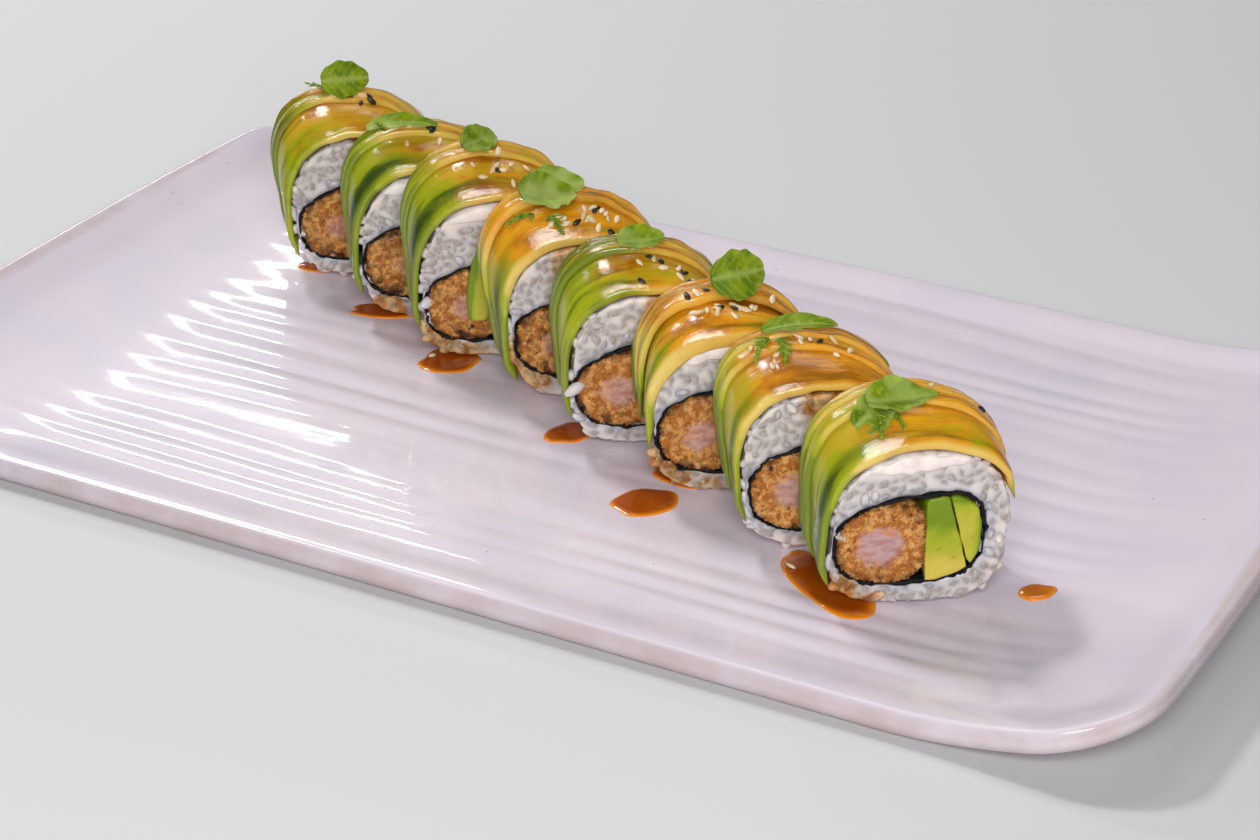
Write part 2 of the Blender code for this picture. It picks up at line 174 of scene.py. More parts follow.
@dataclass
class Shape:
    """A mesh being gathered, with one value for each point in each named field."""

    points: Array
    faces: list[list[int]]
    fields: dict[str, Array] = field(default_factory=dict)

    @staticmethod
    def loft(rings: Array, ends: Ends) -> "Shape":
        """A closed skin over rings of points.

        Args:
            rings: stations x points of a ring x 3.
            ends: how it closes.

        Returns:
            The shape, its points in the order of the rings, then the fans' middles.
        """
        stations, count = rings.shape[:2]
        index = np.arange(stations * count).reshape(stations, count)
        beside = np.roll(index, -1, axis=1)
        faces: list[list[int]] = []
        for k in range(stations if ends is Ends.LOOP else stations - 1):
            ahead = (k + 1) % stations
            quads = np.stack([index[k], beside[k], beside[ahead], index[ahead]], axis=1)
            faces.extend(quads.tolist())
        points = [rings.reshape(-1, 3)]
        if ends is Ends.FAN:
            for order, k in enumerate((0, stations - 1)):
                points.append(rings[k].mean(axis=0, keepdims=True))
                middle = stations * count + order
                faces.extend([[int(a), int(b), middle] for a, b in zip(index[k], beside[k])])
        return Shape(np.concatenate(points), faces)

    @staticmethod
    def gather(shapes: Sequence["Shape"]) -> "Shape":
        """Several shapes as one mesh.

        Args:
            shapes: the shapes, all with the same fields.

        Returns:
            The joined shape.
        """
        faces: list[list[int]] = []
        start = 0
        for shape in shapes:
            faces.extend([[corner + start for corner in face] for face in shape.faces])
            start += len(shape.points)
        names = shapes[0].fields
        fields = {name: np.concatenate([s.fields[name] for s in shapes]) for name in names}
        return Shape(np.concatenate([s.points for s in shapes]), faces, fields)

    def ring_field(self, name: str, values: Array) -> "Shape":
        """Store values given ring by ring, and give the fans' middles their ring's mean.

        Args:
            name: the field's name.
            values: stations x points of a ring.

        Returns:
            This shape.
        """
        extra = [values[0].mean(axis=0), values[-1].mean(axis=0)]
        missing = len(self.points) - values.shape[0] * values.shape[1]
        self.fields[name] = np.concatenate([values.reshape(-1), np.array(extra)[:missing]])
        return self

    def build(self, name: str, look: "Finish", relief: Array | None = None) -> Object:
        """Make the object.

        Args:
            name: its name.
            look: its finish.
            relief: how far each point moves out along its normal.

        Returns:
            The object, at the origin, with its faces outward.
        """
        mesh = bpy.data.meshes.new(name)
        mesh.from_pydata(self.points.tolist(), [], self.faces)
        work = bmesh.new()
        work.from_mesh(mesh)
        bmesh.ops.recalc_face_normals(work, faces=work.faces)
        work.to_mesh(mesh)
        work.free()
        if relief is not None:
            normals = np.empty(len(self.points) * 3)
            mesh.vertex_normals.foreach_get("vector", normals)
            moved = self.points + normals.reshape(-1, 3) * relief[:, None]
            mesh.vertices.foreach_set("co", moved.reshape(-1))
            mesh.update()
        for key, values in self.fields.items():
            store = mesh.attributes.new(key, "FLOAT", "POINT")
            store.data.foreach_set("value", values.astype(np.float32))
        mesh.shade_smooth()
        mesh.materials.append(look.material())
        return link(name, mesh)


def hand_over(piece: Object, slot: str | None, *nodes: str) -> Object:
    """Let a finished piece ride on the body and stand for its nodes.

    Args:
        piece: the finished object.
        slot: not used.
        nodes: the CAD nodes that it stands for.

    Returns:
        The piece.
    """
    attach(piece, BODY)
    if nodes:
        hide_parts(*nodes)
    LOG.info("%s: %d faces", piece.name, len(piece.data.polygons))
    return piece


# ---------------------------------------------------------------- finishes


class NodeGraph:
    """A node tree that is being filled."""

    tree: bpy.types.NodeTree

    def add(self, kind: str, inputs: dict | None = None, **settings: object) -> bpy.types.Node:
        """A new node.

        Args:
            kind: its type.
            inputs: a value for each input, or a socket to link from.
            **settings: its other settings.

        Returns:
            The node.
        """
        node = self.tree.nodes.new(kind)
        for key, value in settings.items():
            setattr(node, key, value)
        for key, value in (inputs or {}).items():
            if isinstance(value, Socket):
                self.tree.links.new(value, node.inputs[key])
            elif value is not None:
                node.inputs[key].default_value = value
        return node

    def vector(self, *parts: Socket | float) -> Socket:
        """A vector of up to three values."""
        return self.add("ShaderNodeCombineXYZ", dict(enumerate(parts))).outputs["Vector"]


class NodeSheet(NodeGraph):
    """The nodes of one material, wired into its Principled shader."""

    def __init__(self, name: str) -> None:
        """Start a material.

        Args:
            name: its name.
        """
        self.material = bpy.data.materials.new(name)
        self.material.use_nodes = True
        self.tree = self.material.node_tree
        self.shader = self.tree.nodes["Principled BSDF"]

    def field(self, name: str) -> Socket:
        """A value stored on the mesh."""
        node = self.add("ShaderNodeAttribute", attribute_name=name, attribute_type="GEOMETRY")
        return node.outputs["Fac"]

    def place(self, *names: str) -> Socket:
        """The place that a pattern is read at.

        Args:
            *names: up to three stored fields; Object coordinates if there are none.

        Returns:
            The place's socket.
        """
        if not names:
            return self.add("ShaderNodeTexCoord").outputs["Object"]
        return self.vector(*[self.field(name) for name in names])

    def stretch(self, where: Socket, scale: Colour) -> Socket:
        """The same place with each axis scaled."""
        node = self.add("ShaderNodeMapping", {"Vector": where, "Scale": scale})
        return node.outputs["Vector"]

    def grain(
        self, scale: float, detail: float = 3.0, rough: float = 0.55, where: Socket | None = None
    ) -> Socket:
        """Fractal noise from 0 to 1.

        Args:
            scale: features for each metre, or for each unit of where.
            detail: octaves.
            rough: how strong the fine octaves are.
            where: the place; Object coordinates by default.

        Returns:
            The noise value's socket.
        """
        place = where or self.place()
        inputs = {"Vector": place, "Scale": scale, "Detail": detail, "Roughness": rough}
        return self.add("ShaderNodeTexNoise", inputs).outputs["Fac"]

    def cells(self, scale: float) -> Socket:
        """Distance to the nearest random point, in Object coordinates."""
        inputs = {"Vector": self.place(), "Scale": scale}
        return self.add("ShaderNodeTexVoronoi", inputs).outputs["Distance"]

    def step(self, value: Socket, low: float, high: float, end: float = 1.0) -> Socket:
        """Smooth step of a value.

        Args:
            value: what is stepped.
            low: value that gives 0.
            high: value that gives end.
            end: result at high.

        Returns:
            The result's socket.
        """
        inputs = {"Value": value, "From Min": low, "From Max": high, "To Max": end}
        node = self.add("ShaderNodeMapRange", inputs, interpolation_type="SMOOTHSTEP")
        return node.outputs["Result"]

    def maths(self, operation: str, first: Socket, second: Socket | float) -> Socket:
        """One operation on two values, its result kept from 0 up to 1.

        Args:
            operation: what is done.
            first: the first value.
            second: the second value.

        Returns:
            The result's socket.
        """
        inputs = {0: first, 1: second}
        node = self.add("ShaderNodeMath", inputs, operation=operation, use_clamp=True)
        return node.outputs["Value"]

    def mix(self, share: Socket, first: Socket | Colour, second: Socket | Colour) -> Socket:
        """Blend two colours.

        Args:
            share: how much of the second there is.
            first: a socket or a plain colour.
            second: the same.

        Returns:
            The colour's socket.
        """
        full = {6: first, 7: second}
        full = {k: (*v, 1.0) if isinstance(v, tuple) else v for k, v in full.items()}
        return self.add("ShaderNodeMix", {0: share, **full}, data_type="RGBA").outputs[2]

    def bumps(self, layers: Sequence[Layer]) -> Socket:
        """Bumps on top of each other.

        Args:
            layers: each a height from 0 to 1 and its depth in metres.

        Returns:
            The normal's socket.
        """
        normal = None
        for height, depth in layers:
            inputs = {"Height": height, "Distance": depth, "Strength": 1.0, "Normal": normal}
            normal = self.add("ShaderNodeBump", inputs).outputs["Normal"]
        return normal

    def relief(self, *layers: Layer) -> None:
        """Bump of the surface under its coat."""
        self.tree.links.new(self.bumps(layers), self.shader.inputs["Normal"])

    def coat_relief(self, *layers: Layer) -> None:
        """Gentler bump of the coat, so that its glints stay bright."""
        self.tree.links.new(self.bumps(layers), self.shader.inputs["Coat Normal"])

    def paint(self, socket: str, value: Socket) -> None:
        """Wire a value or colour into the shader."""
        self.tree.links.new(value, self.shader.inputs[socket])


@dataclass(frozen=True)
class Finish:
    """A finish: values that are the same all over, and a pattern that a subclass paints.

    Attributes:
        name: the material's name.
        roughness: of the surface under the coat.
        coat: how much clear coat it has.
        coat_roughness: of the coat.
        specular: strength of the reflection under the coat.
        depth: share of the light that scatters below the surface.
        scatter: how far red, green and blue go there, in metres.
    """

    name: str
    roughness: float = 0.5
    coat: float = 0.0
    coat_roughness: float = 0.08
    specular: float = 0.5
    depth: float = 0.0
    scatter: Colour = (0.002, 0.0012, 0.0006)

    def material(self) -> bpy.types.Material:
        """The material of this finish, made once.

        Returns:
            The material.
        """
        if self.name in MADE_FINISHES:
            return MADE_FINISHES[self.name]
        sheet = NodeSheet(self.name)
        MADE_FINISHES[self.name] = sheet.material
        plain = {
            "Roughness": self.roughness,
            "Coat Weight": self.coat,
            "Coat Roughness": self.coat_roughness,
            "Specular IOR Level": self.specular,
            "Subsurface Weight": self.depth,
            "Subsurface Radius": self.scatter,
            "Subsurface Scale": 1.0,
        }
        for socket, value in plain.items():
            sheet.shader.inputs[socket].default_value = value
        self.dress(sheet)
        return sheet.material

    def dress(self, sheet: NodeSheet) -> None:
        """Paint the pattern."""
        raise NotImplementedError


@dataclass(frozen=True)
class PlateGlaze(Finish):
    """Pale lilac-white glaze, thin and beige over the rim, with sparse iron specks."""

    body: Colour = (0.750, 0.670, 0.745)
    cool: Colour = (0.690, 0.630, 0.720)
    worn: Colour = (0.560, 0.450, 0.450)
    speck: Colour = (0.260, 0.150, 0.120)

    def dress(self, sheet: NodeSheet) -> None:
        """Clouded glaze, rim tint, specks and a faintly uneven surface.

        Args:
            sheet: the material's nodes.
        """
        cloud = sheet.step(sheet.grain(26.0, 2.0), 0.38, 0.66)
        colour = sheet.mix(cloud, self.body, self.cool)
        rim = sheet.maths("MULTIPLY", sheet.field("rim"), sheet.step(sheet.grain(60.0), 0.1, 0.7))
        colour = sheet.mix(rim, colour, self.worn)
        dots = sheet.step(sheet.cells(260.0), 0.10, 0.04)
        sparse = sheet.step(sheet.grain(130.0, 1.0), 0.62, 0.70, 0.7)
        colour = sheet.mix(sheet.maths("MULTIPLY", dots, sparse), colour, self.speck)
        sheet.paint("Base Color", colour)
        long_waves = sheet.grain(1.0, 3.0, 0.5, sheet.stretch(sheet.place(), (55.0, 260.0, 55.0)))
        sheet.relief((long_waves, 0.00007), (sheet.grain(700.0, 1.0), 0.000008))


@dataclass(frozen=True)
class CookedRice(Finish):
    """Moist rice, with painted bluish shade near the nori, stained where sauce has run."""

    grain_tone: Colour = (0.930, 0.750, 0.640)
    cool: Colour = (0.860, 0.710, 0.650)
    shade: Colour = (0.620, 0.600, 0.660)
    stain: Colour = (0.720, 0.400, 0.180)
    deep_stain: Colour = (0.500, 0.170, 0.035)

    def dress(self, sheet: NodeSheet) -> None:
        """Grain-by-grain tone, painted bluish shade near the nori, sauce stains and a fine wet
        surface.

        Args:
            sheet: the material's nodes.
        """
        tone = sheet.mix(sheet.field("tone"), self.grain_tone, self.cool)
        cloud = sheet.step(sheet.grain(420.0, 2.0), 0.40, 0.75, 0.30)
        tone = sheet.mix(cloud, tone, self.cool)
        # Painted bluish shade on the rice close to the nori.
        tone = sheet.mix(sheet.field("painted_shade_near_nori"), tone, self.shade)
        spill = sheet.field("stain")
        edge = sheet.grain(360.0, 3.0)
        reach = sheet.step(sheet.maths("ADD", spill, sheet.maths("MULTIPLY", edge, 0.5)), 0.45, 0.95)
        sauce = sheet.mix(sheet.step(edge, 0.45, 0.62), self.stain, self.deep_stain)
        sheet.paint("Base Color", sheet.mix(reach, tone, sauce))
        sheet.relief((sheet.grain(900.0, 3.0), 0.00007))


@dataclass(frozen=True)
class Seaweed(Finish):
    """Damp nori, nearly black."""

    dark: Colour = (0.003, 0.003, 0.004)
    sheen: Colour = (0.012, 0.013, 0.018)

    def dress(self, sheet: NodeSheet) -> None:
        """Crinkled dark sheet.

        Args:
            sheet: the material's nodes.
        """
        crinkle = sheet.grain(700.0, 4.0, 0.7)
        sheet.paint("Base Color", sheet.mix(sheet.step(crinkle, 0.4, 0.75), self.dark, self.sheen))
        sheet.relief((crinkle, 0.0003))


@dataclass(frozen=True)
class CrumbedPrawn(Finish):
    """Pink prawn meat inside a fried golden crumb."""

    meat: Colour = (0.440, 0.225, 0.205)
    pale: Colour = (0.560, 0.360, 0.350)
    blush: Colour = (0.620, 0.210, 0.090)
    gold: Colour = (0.420, 0.135, 0.016)
    tan: Colour = (0.720, 0.370, 0.110)
    burnt_and_shade: Colour = (0.045, 0.011, 0.002)

    def dress(self, sheet: NodeSheet) -> None:
        """Meat with faint fibres in the middle, crumbs of three browns round it, and painted shade
        where the crumb meets the nori.

        Args:
            sheet: the material's nodes.
        """
        section = sheet.stretch(sheet.place("across", "up"), (260.0, 520.0, 1.0))
        fibres = sheet.grain(1.0, 3.0, 0.6, section)
        meat = sheet.mix(sheet.step(fibres, 0.35, 0.65), self.meat, self.pale)
        meat = sheet.mix(sheet.step(sheet.grain(260.0, 2.0), 0.54, 0.74, 0.7), meat, self.blush)
        crumb = sheet.mix(sheet.step(sheet.grain(520.0, 4.0, 0.7), 0.42, 0.60), self.gold, self.tan)
        dark = sheet.step(sheet.grain(430.0, 5.0, 0.75), 0.56, 0.68, 0.85)
        # The field read here darkens burnt crumb and paints shade along the crumb's outline.
        crumb = sheet.mix(sheet.maths("ADD", dark, sheet.field("char_and_shade")), crumb, self.burnt_and_shade)
        sheet.paint("Base Color", sheet.mix(sheet.field("crust"), meat, crumb))
        sheet.relief((sheet.grain(1400.0, 3.0, 0.7), 0.00025))


@dataclass(frozen=True)
class AvocadoFlesh(Finish):
    """Cut avocado: green under the skin, yellow towards the stone."""

    yellow: Colour = (0.660, 0.520, 0.075)
    lime: Colour = (0.380, 0.430, 0.018)
    green: Colour = (0.140, 0.240, 0.004)
    bruise: Colour = (0.230, 0.190, 0.030)

    def dress(self, sheet: NodeSheet) -> None:
        """Colour by the stored ripeness, with faint fibres and bruises.

        Args:
            sheet: the material's nodes.
        """
        wander = sheet.maths("MULTIPLY", sheet.grain(300.0, 3.0), 0.30)
        ripe = sheet.maths("SUBTRACT", sheet.maths("ADD", sheet.field("skin"), wander), 0.15)
        colour = sheet.mix(sheet.step(ripe, 0.10, 0.50), self.yellow, self.lime)
        colour = sheet.mix(sheet.step(ripe, 0.55, 0.95), colour, self.green)
        spots = sheet.step(sheet.grain(520.0, 2.0), 0.64, 0.74, 0.35)
        colour = sheet.mix(spots, colour, self.bruise)
        sheet.paint("Base Color", colour)
        sheet.relief((sheet.grain(800.0, 3.0), 0.00010))


@dataclass(frozen=True)
class GlazedAvocado(Finish):
    """Thin avocado slices under a shiny amber glaze that gathers on top."""

    cream: Colour = (0.780, 0.570, 0.130)
    yellow: Colour = (0.520, 0.370, 0.013)
    lime: Colour = (0.360, 0.400, 0.002)
    green: Colour = (0.110, 0.180, 0.001)
    dark: Colour = (0.014, 0.034, 0.001)
    amber: Colour = (0.900, 0.350, 0.003)
    treacle: Colour = (0.360, 0.105, 0.001)
    olive: Colour = (0.120, 0.078, 0.002)
    # Painted contact shadow where the next slice lies over this one.
    seam: Colour = (0.040, 0.038, 0.002)

    def dress(self, sheet: NodeSheet) -> None:
        """Flesh and skin colours along each slice, the glaze over them, and painted shadow where the
        next slice lies over it.

        Args:
            sheet: the material's nodes.
        """
        lie = sheet.place("along", "width", "leaf")
        fibres = sheet.grain(1.0, 3.0, 0.55, sheet.stretch(lie, (3.4, 10.0, 31.0)))
        wrinkles = sheet.grain(1.0, 4.0, 0.65, sheet.stretch(lie, (22.0, 26.0, 31.0)))
        blotch = sheet.grain(1.0, 4.0, 0.62, sheet.stretch(lie, (4.6, 2.4, 17.0)))
        streaky = sheet.maths("MULTIPLY", sheet.step(fibres, 0.28, 0.72), 0.46)
        green = sheet.maths("ADD", sheet.field("green"), streaky)
        colour = sheet.mix(sheet.step(green, 0.28, 0.60), self.yellow, self.lime)
        colour = sheet.mix(sheet.step(green, 0.68, 1.00), colour, self.green)
        line = sheet.maths("MULTIPLY", sheet.field("rind"), sheet.step(blotch, 0.24, 0.48))
        colour = sheet.mix(line, colour, self.dark)
        poured = sheet.maths("MULTIPLY", sheet.field("glaze"), 0.40)
        spread = sheet.maths("ADD", poured, sheet.maths("MULTIPLY", blotch, 0.85))
        glaze = sheet.step(spread, 0.56, 0.86, 0.94)
        pools = sheet.maths("MULTIPLY", blotch, 0.75)
        pools = sheet.maths("ADD", pools, sheet.maths("MULTIPLY", fibres, 0.25))
        sauce = sheet.mix(sheet.step(pools, 0.42, 0.66), self.amber, self.treacle)
        sauce = sheet.mix(sheet.step(green, 0.42, 0.90, 0.85), sauce, self.olive)
        colour = sheet.mix(glaze, colour, sauce)
        rim = sheet.maths("SUBTRACT", sheet.field("rim"), sheet.maths("MULTIPLY", glaze, 0.35))
        # Painted shadow along the line where the next slice overlaps.
        colour = sheet.mix(sheet.field("seam"), colour, self.seam)
        skin = sheet.mix(sheet.step(green, 0.85, 1.00, 0.6), self.lime, self.green)
        colour = sheet.mix(rim, colour, sheet.mix(sheet.step(green, 0.40, 0.75), self.cream, skin))
        sheet.paint("Base Color", colour)
        fine = sheet.grain(1300.0, 3.0, 0.7)
        lumps = sheet.grain(420.0, 3.0)
        sheet.relief((fibres, 0.00020), (wrinkles, 0.00026), (lumps, 0.00018), (fine, 0.00006))
        sheet.coat_relief((wrinkles, 0.00010), (sheet.grain(300.0, 2.0), 0.00010), (fine, 0.000014))


@dataclass(frozen=True)
class SoftCream(Finish):
    """Smooth white cream cheese."""

    white: Colour = (0.930, 0.830, 0.770)
    shade: Colour = (0.820, 0.730, 0.700)

    def dress(self, sheet: NodeSheet) -> None:
        """Faintly streaked white.

        Args:
            sheet: the material's nodes.
        """
        streak = sheet.grain(330.0, 2.0)
        sheet.paint("Base Color", sheet.mix(sheet.step(streak, 0.4, 0.7), self.white, self.shade))
        sheet.relief((sheet.grain(500.0, 2.0), 0.00020))


@dataclass(frozen=True)
class GreenLeaf(Finish):
    """A fresh herb leaf with pale veins."""

    blade: Colour = (0.095, 0.180, 0.001)
    light: Colour = (0.240, 0.320, 0.002)
    pale: Colour = (0.400, 0.500, 0.120)
    vein: Colour = (0.420, 0.520, 0.130)

    def dress(self, sheet: NodeSheet) -> None:
        """Mottled green between veins.

        Args:
            sheet: the material's nodes.
        """
        blade = sheet.mix(sheet.step(sheet.grain(260.0, 3.0), 0.35, 0.7), self.blade, self.light)
        blade = sheet.mix(sheet.field("pale"), blade, self.pale)
        sheet.paint("Base Color", sheet.mix(sheet.field("vein"), blade, self.vein))
        sheet.relief((sheet.grain(900.0, 3.0), 0.00015))


@dataclass(frozen=True)
class Sauce(Finish):
    """Dark amber sauce, lighter where it thins out."""

    thick: Colour = (0.340, 0.064, 0.001)
    thin: Colour = (0.880, 0.270, 0.004)

    def dress(self, sheet: NodeSheet) -> None:
        """Depth of colour by the stored thickness.

        Args:
            sheet: the material's nodes.
        """
        cloud = sheet.maths("MULTIPLY", sheet.grain(150.0), 0.3)
        deep = sheet.maths("ADD", sheet.field("thick"), cloud)
        sheet.paint("Base Color", sheet.mix(sheet.step(deep, 0.15, 1.0), self.thin, self.thick))
        sheet.relief((sheet.grain(200.0, 2.0), 0.00005))


@dataclass(frozen=True)
class Speckled(Finish):
    """Two tones that change from one small piece to the next."""

    first: Colour = (0.5, 0.5, 0.5)
    second: Colour = (0.6, 0.6, 0.6)

    def dress(self, sheet: NodeSheet) -> None:
        """Tone by piece, with a fine mottle.

        Args:
            sheet: the material's nodes.
        """
        mottle = sheet.maths("MULTIPLY", sheet.grain(1500.0), 0.3)
        share = sheet.maths("ADD", sheet.field("tone"), mottle)
        sheet.paint("Base Color", sheet.mix(share, self.first, self.second))
        sheet.relief((sheet.grain(1800.0, 2.0), 0.00008))


PLATE_GLAZE = PlateGlaze("plate_glaze", roughness=0.34, coat=0.70, coat_roughness=0.07, specular=0.20)
RICE = CookedRice(
    "cooked_rice", roughness=0.36, coat=0.16, coat_roughness=0.20, specular=0.30,
    depth=0.60, scatter=(0.0036, 0.0028, 0.0022),
)
NORI = Seaweed("damp_nori", roughness=0.60, coat=0.04, coat_roughness=0.30, specular=0.20)
PRAWN = CrumbedPrawn(
    "fried_prawn", roughness=0.55, coat=0.10, coat_roughness=0.20, specular=0.30,
    depth=0.10, scatter=(0.0012, 0.0006, 0.0004),
)
FLESH = AvocadoFlesh(
    "avocado_flesh", roughness=0.38, coat=0.15, coat_roughness=0.15, specular=0.25,
    depth=0.08, scatter=(0.0012, 0.0010, 0.0002),
)
SLICES = GlazedAvocado(
    "amber_glazed_slices", roughness=0.45, coat=0.95, coat_roughness=0.03, specular=0.10,
    depth=0.05, scatter=(0.0010, 0.0007, 0.0001),
)
CREAM = SoftCream(
    "soft_white_cream", roughness=0.40, coat=0.08, coat_roughness=0.20, specular=0.30,
    depth=0.30, scatter=(0.0020, 0.0016, 0.0012),
)
LEAF = GreenLeaf(
    "herb_leaf", roughness=0.50, coat_roughness=0.12, specular=0.10,
    depth=0.10, scatter=(0.0006, 0.0009, 0.0001),
)
SAUCE = Sauce("amber_sauce", roughness=0.16, coat=0.60, coat_roughness=0.04, specular=0.20)
WHITE_SEED = Speckled(
    "white_sesame", roughness=0.40, coat=0.20, coat_roughness=0.20, specular=0.3,
    first=(0.880, 0.760, 0.520), second=(0.740, 0.560, 0.300),
)
BLACK_SEED = Speckled(
    "black_sesame", roughness=0.30, coat=0.30, coat_roughness=0.10, specular=0.3,
    first=(0.010, 0.008, 0.009), second=(0.028, 0.022, 0.020),
)
DILL = Speckled(
    "dill", roughness=0.45, coat=0.08, coat_roughness=0.20, specular=0.2,
    first=(0.075, 0.180, 0.002), second=(0.280, 0.400, 0.030),
)


# ---------------------------------------------------------------- strewn shapes


class Strew(Enum):
    """Where the small copies stand."""

    OVER_SURFACE = "anywhere on a surface, keeping their distance"
    ON_POINTS = "one on each point, turned and sized as its fields say"


class StrewTree(NodeGraph):
    """Geometry nodes that set copies of a small shape and make them one plain mesh."""

    def __init__(self, way: Strew) -> None:
        """Build the tree.

        Args:
            way: which of the two ways it sets the copies.
        """
        self.way = way
        self.tree = bpy.data.node_groups.new("strew_" + way.name.lower(), "GeometryNodeTree")
        whole = "NodeSocketGeometry"
        self.tree.interface.new_socket("Geometry", in_out="OUTPUT", socket_type=whole)
        kinds = {"Geometry": "Geometry", "Shape": "Object", "Finish": "Material", "Spacing": "Float"}
        kinds |= {"Density": "Float", "Sink": "Float", "Tilt": "Float"}
        kinds |= {"Least size": "Vector", "Most size": "Vector", "Seed": "Int"}
        for name, kind in kinds.items():
            self.tree.interface.new_socket(name, in_out="INPUT", socket_type="NodeSocket" + kind)
        self.inlet = self.add("NodeGroupInput").outputs
        self.finish_tree(self.over_surface() if way is Strew.OVER_SURFACE else self.on_points())

    def stored(self, name: str, kind: str) -> Socket:
        """A field of the carrying mesh, FLOAT or FLOAT_VECTOR."""
        node = self.add("GeometryNodeInputNamedAttribute", {"Name": name}, data_type=kind)
        return node.outputs["Attribute"]

    def small_shape(self) -> Socket:
        """The shape that is copied."""
        node = self.add("GeometryNodeObjectInfo", {"Object": self.inlet["Shape"]})
        return node.outputs["Geometry"]

    def turned(self, start: Socket, euler: Socket) -> Socket:
        """Turn a rotation further in its own axes.

        Args:
            start: the rotation.
            euler: the further turn.

        Returns:
            The new rotation.
        """
        more = self.add("FunctionNodeEulerToRotation", {"Euler": euler}).outputs["Rotation"]
        inputs = {"Rotation": start, "Rotate By": more}
        node = self.add("FunctionNodeRotateRotation", inputs, rotation_space="LOCAL")
        return node.outputs["Rotation"]

    def between(self, low: Socket, high: Socket) -> Socket:
        """A random vector between two others, drawn for each copy."""
        inputs = {0: low, 1: high, "Seed": self.inlet["Seed"]}
        return self.add("FunctionNodeRandomValue", inputs, data_type="FLOAT_VECTOR").outputs[0]

    def over_surface(self) -> Socket:
        """Copies over the faces, standing off the edges of the field called room.

        Returns:
            The copies.
        """
        inputs = {
            "Mesh": self.inlet["Geometry"],
            "Distance Min": self.inlet["Spacing"],
            "Density Max": self.inlet["Density"],
            "Density Factor": self.stored("room", "FLOAT"),
            "Seed": self.inlet["Seed"],
        }
        spread = self.add("GeometryNodeDistributePointsOnFaces", inputs, distribute_method="POISSON")
        down = self.add("ShaderNodeVectorMath", {0: spread.outputs["Normal"]}, operation="SCALE")
        self.tree.links.new(self.inlet["Sink"], down.inputs["Scale"])
        inputs = {"Geometry": spread.outputs["Points"], "Offset": down.outputs["Vector"]}
        sunk = self.add("GeometryNodeSetPosition", inputs).outputs["Geometry"]
        tilt = self.inlet["Tilt"]
        back = self.add("ShaderNodeMath", {0: tilt, 1: -1.0}, operation="MULTIPLY").outputs[0]
        spin = self.between(self.vector(back, back, 0.0), self.vector(tilt, tilt, TURN))
        inputs = {
            "Points": sunk,
            "Instance": self.small_shape(),
            "Rotation": self.turned(spread.outputs["Rotation"], spin),
            "Scale": self.between(self.inlet["Least size"], self.inlet["Most size"]),
        }
        return self.add("GeometryNodeInstanceOnPoints", inputs).outputs["Instances"]

    def on_points(self) -> Socket:
        """One copy on each point, its z along facing, turned about it, and of its own size.

        Returns:
            The copies.
        """
        inputs = {"Vector": self.stored("facing", "FLOAT_VECTOR")}
        aim = self.add("FunctionNodeAlignRotationToVector", inputs, axis="Z").outputs["Rotation"]
        spin = self.vector(0.0, 0.0, self.stored("turn", "FLOAT"))
        inputs = {
            "Points": self.inlet["Geometry"],
            "Instance": self.small_shape(),
            "Rotation": self.turned(aim, spin),
            "Scale": self.stored("size", "FLOAT_VECTOR"),
        }
        return self.add("GeometryNodeInstanceOnPoints", inputs).outputs["Instances"]

    def finish_tree(self, copies: Socket) -> None:
        """Give each copy a tone, realise them all and set the material.

        Args:
            copies: the copies.
        """
        draw = self.add("FunctionNodeRandomValue", {"Seed": self.inlet["Seed"]}, data_type="FLOAT")
        inputs = {"Geometry": copies, "Name": "tone", "Value": draw.outputs[1]}
        toned = self.add(
            "GeometryNodeStoreNamedAttribute", inputs, data_type="FLOAT", domain="INSTANCE"
        )
        real = self.add("GeometryNodeRealizeInstances", {"Geometry": toned.outputs[0]}).outputs[0]
        if self.way is Strew.OVER_SURFACE:
            both = self.add("GeometryNodeJoinGeometry", {0: self.inlet["Geometry"]})
            self.tree.links.new(real, both.inputs[0])
            real = both.outputs[0]
        inputs = {"Geometry": real, "Material": self.inlet["Finish"]}
        dressed = self.add("GeometryNodeSetMaterial", inputs).outputs["Geometry"]
        outlet = self.add("NodeGroupOutput")
        self.tree.links.new(dressed, outlet.inputs["Geometry"])

    def make(self, name: str, carrier: Object, values: dict) -> Object:
        """Run the tree on a carrying object and keep the result as a plain mesh.

        Args:
            name: the result's name.
            carrier: the surface or the points; it is used up.
            values: the tree's inputs by name.

        Returns:
            The finished object.
        """
        modifier = carrier.modifiers.new("strew", "NODES")
        modifier.node_group = self.tree
        for item in self.tree.interface.items_tree:
            if item.in_out == "INPUT" and item.name in values:
                modifier[item.identifier] = values[item.name]
        graph = bpy.context.evaluated_depsgraph_get()
        mesh = bpy.data.meshes.new_from_object(
            carrier.evaluated_get(graph), preserve_all_data_layers=True, depsgraph=graph
        )
        bpy.data.objects.remove(carrier)
        mesh.name = name
        return link(name, mesh)


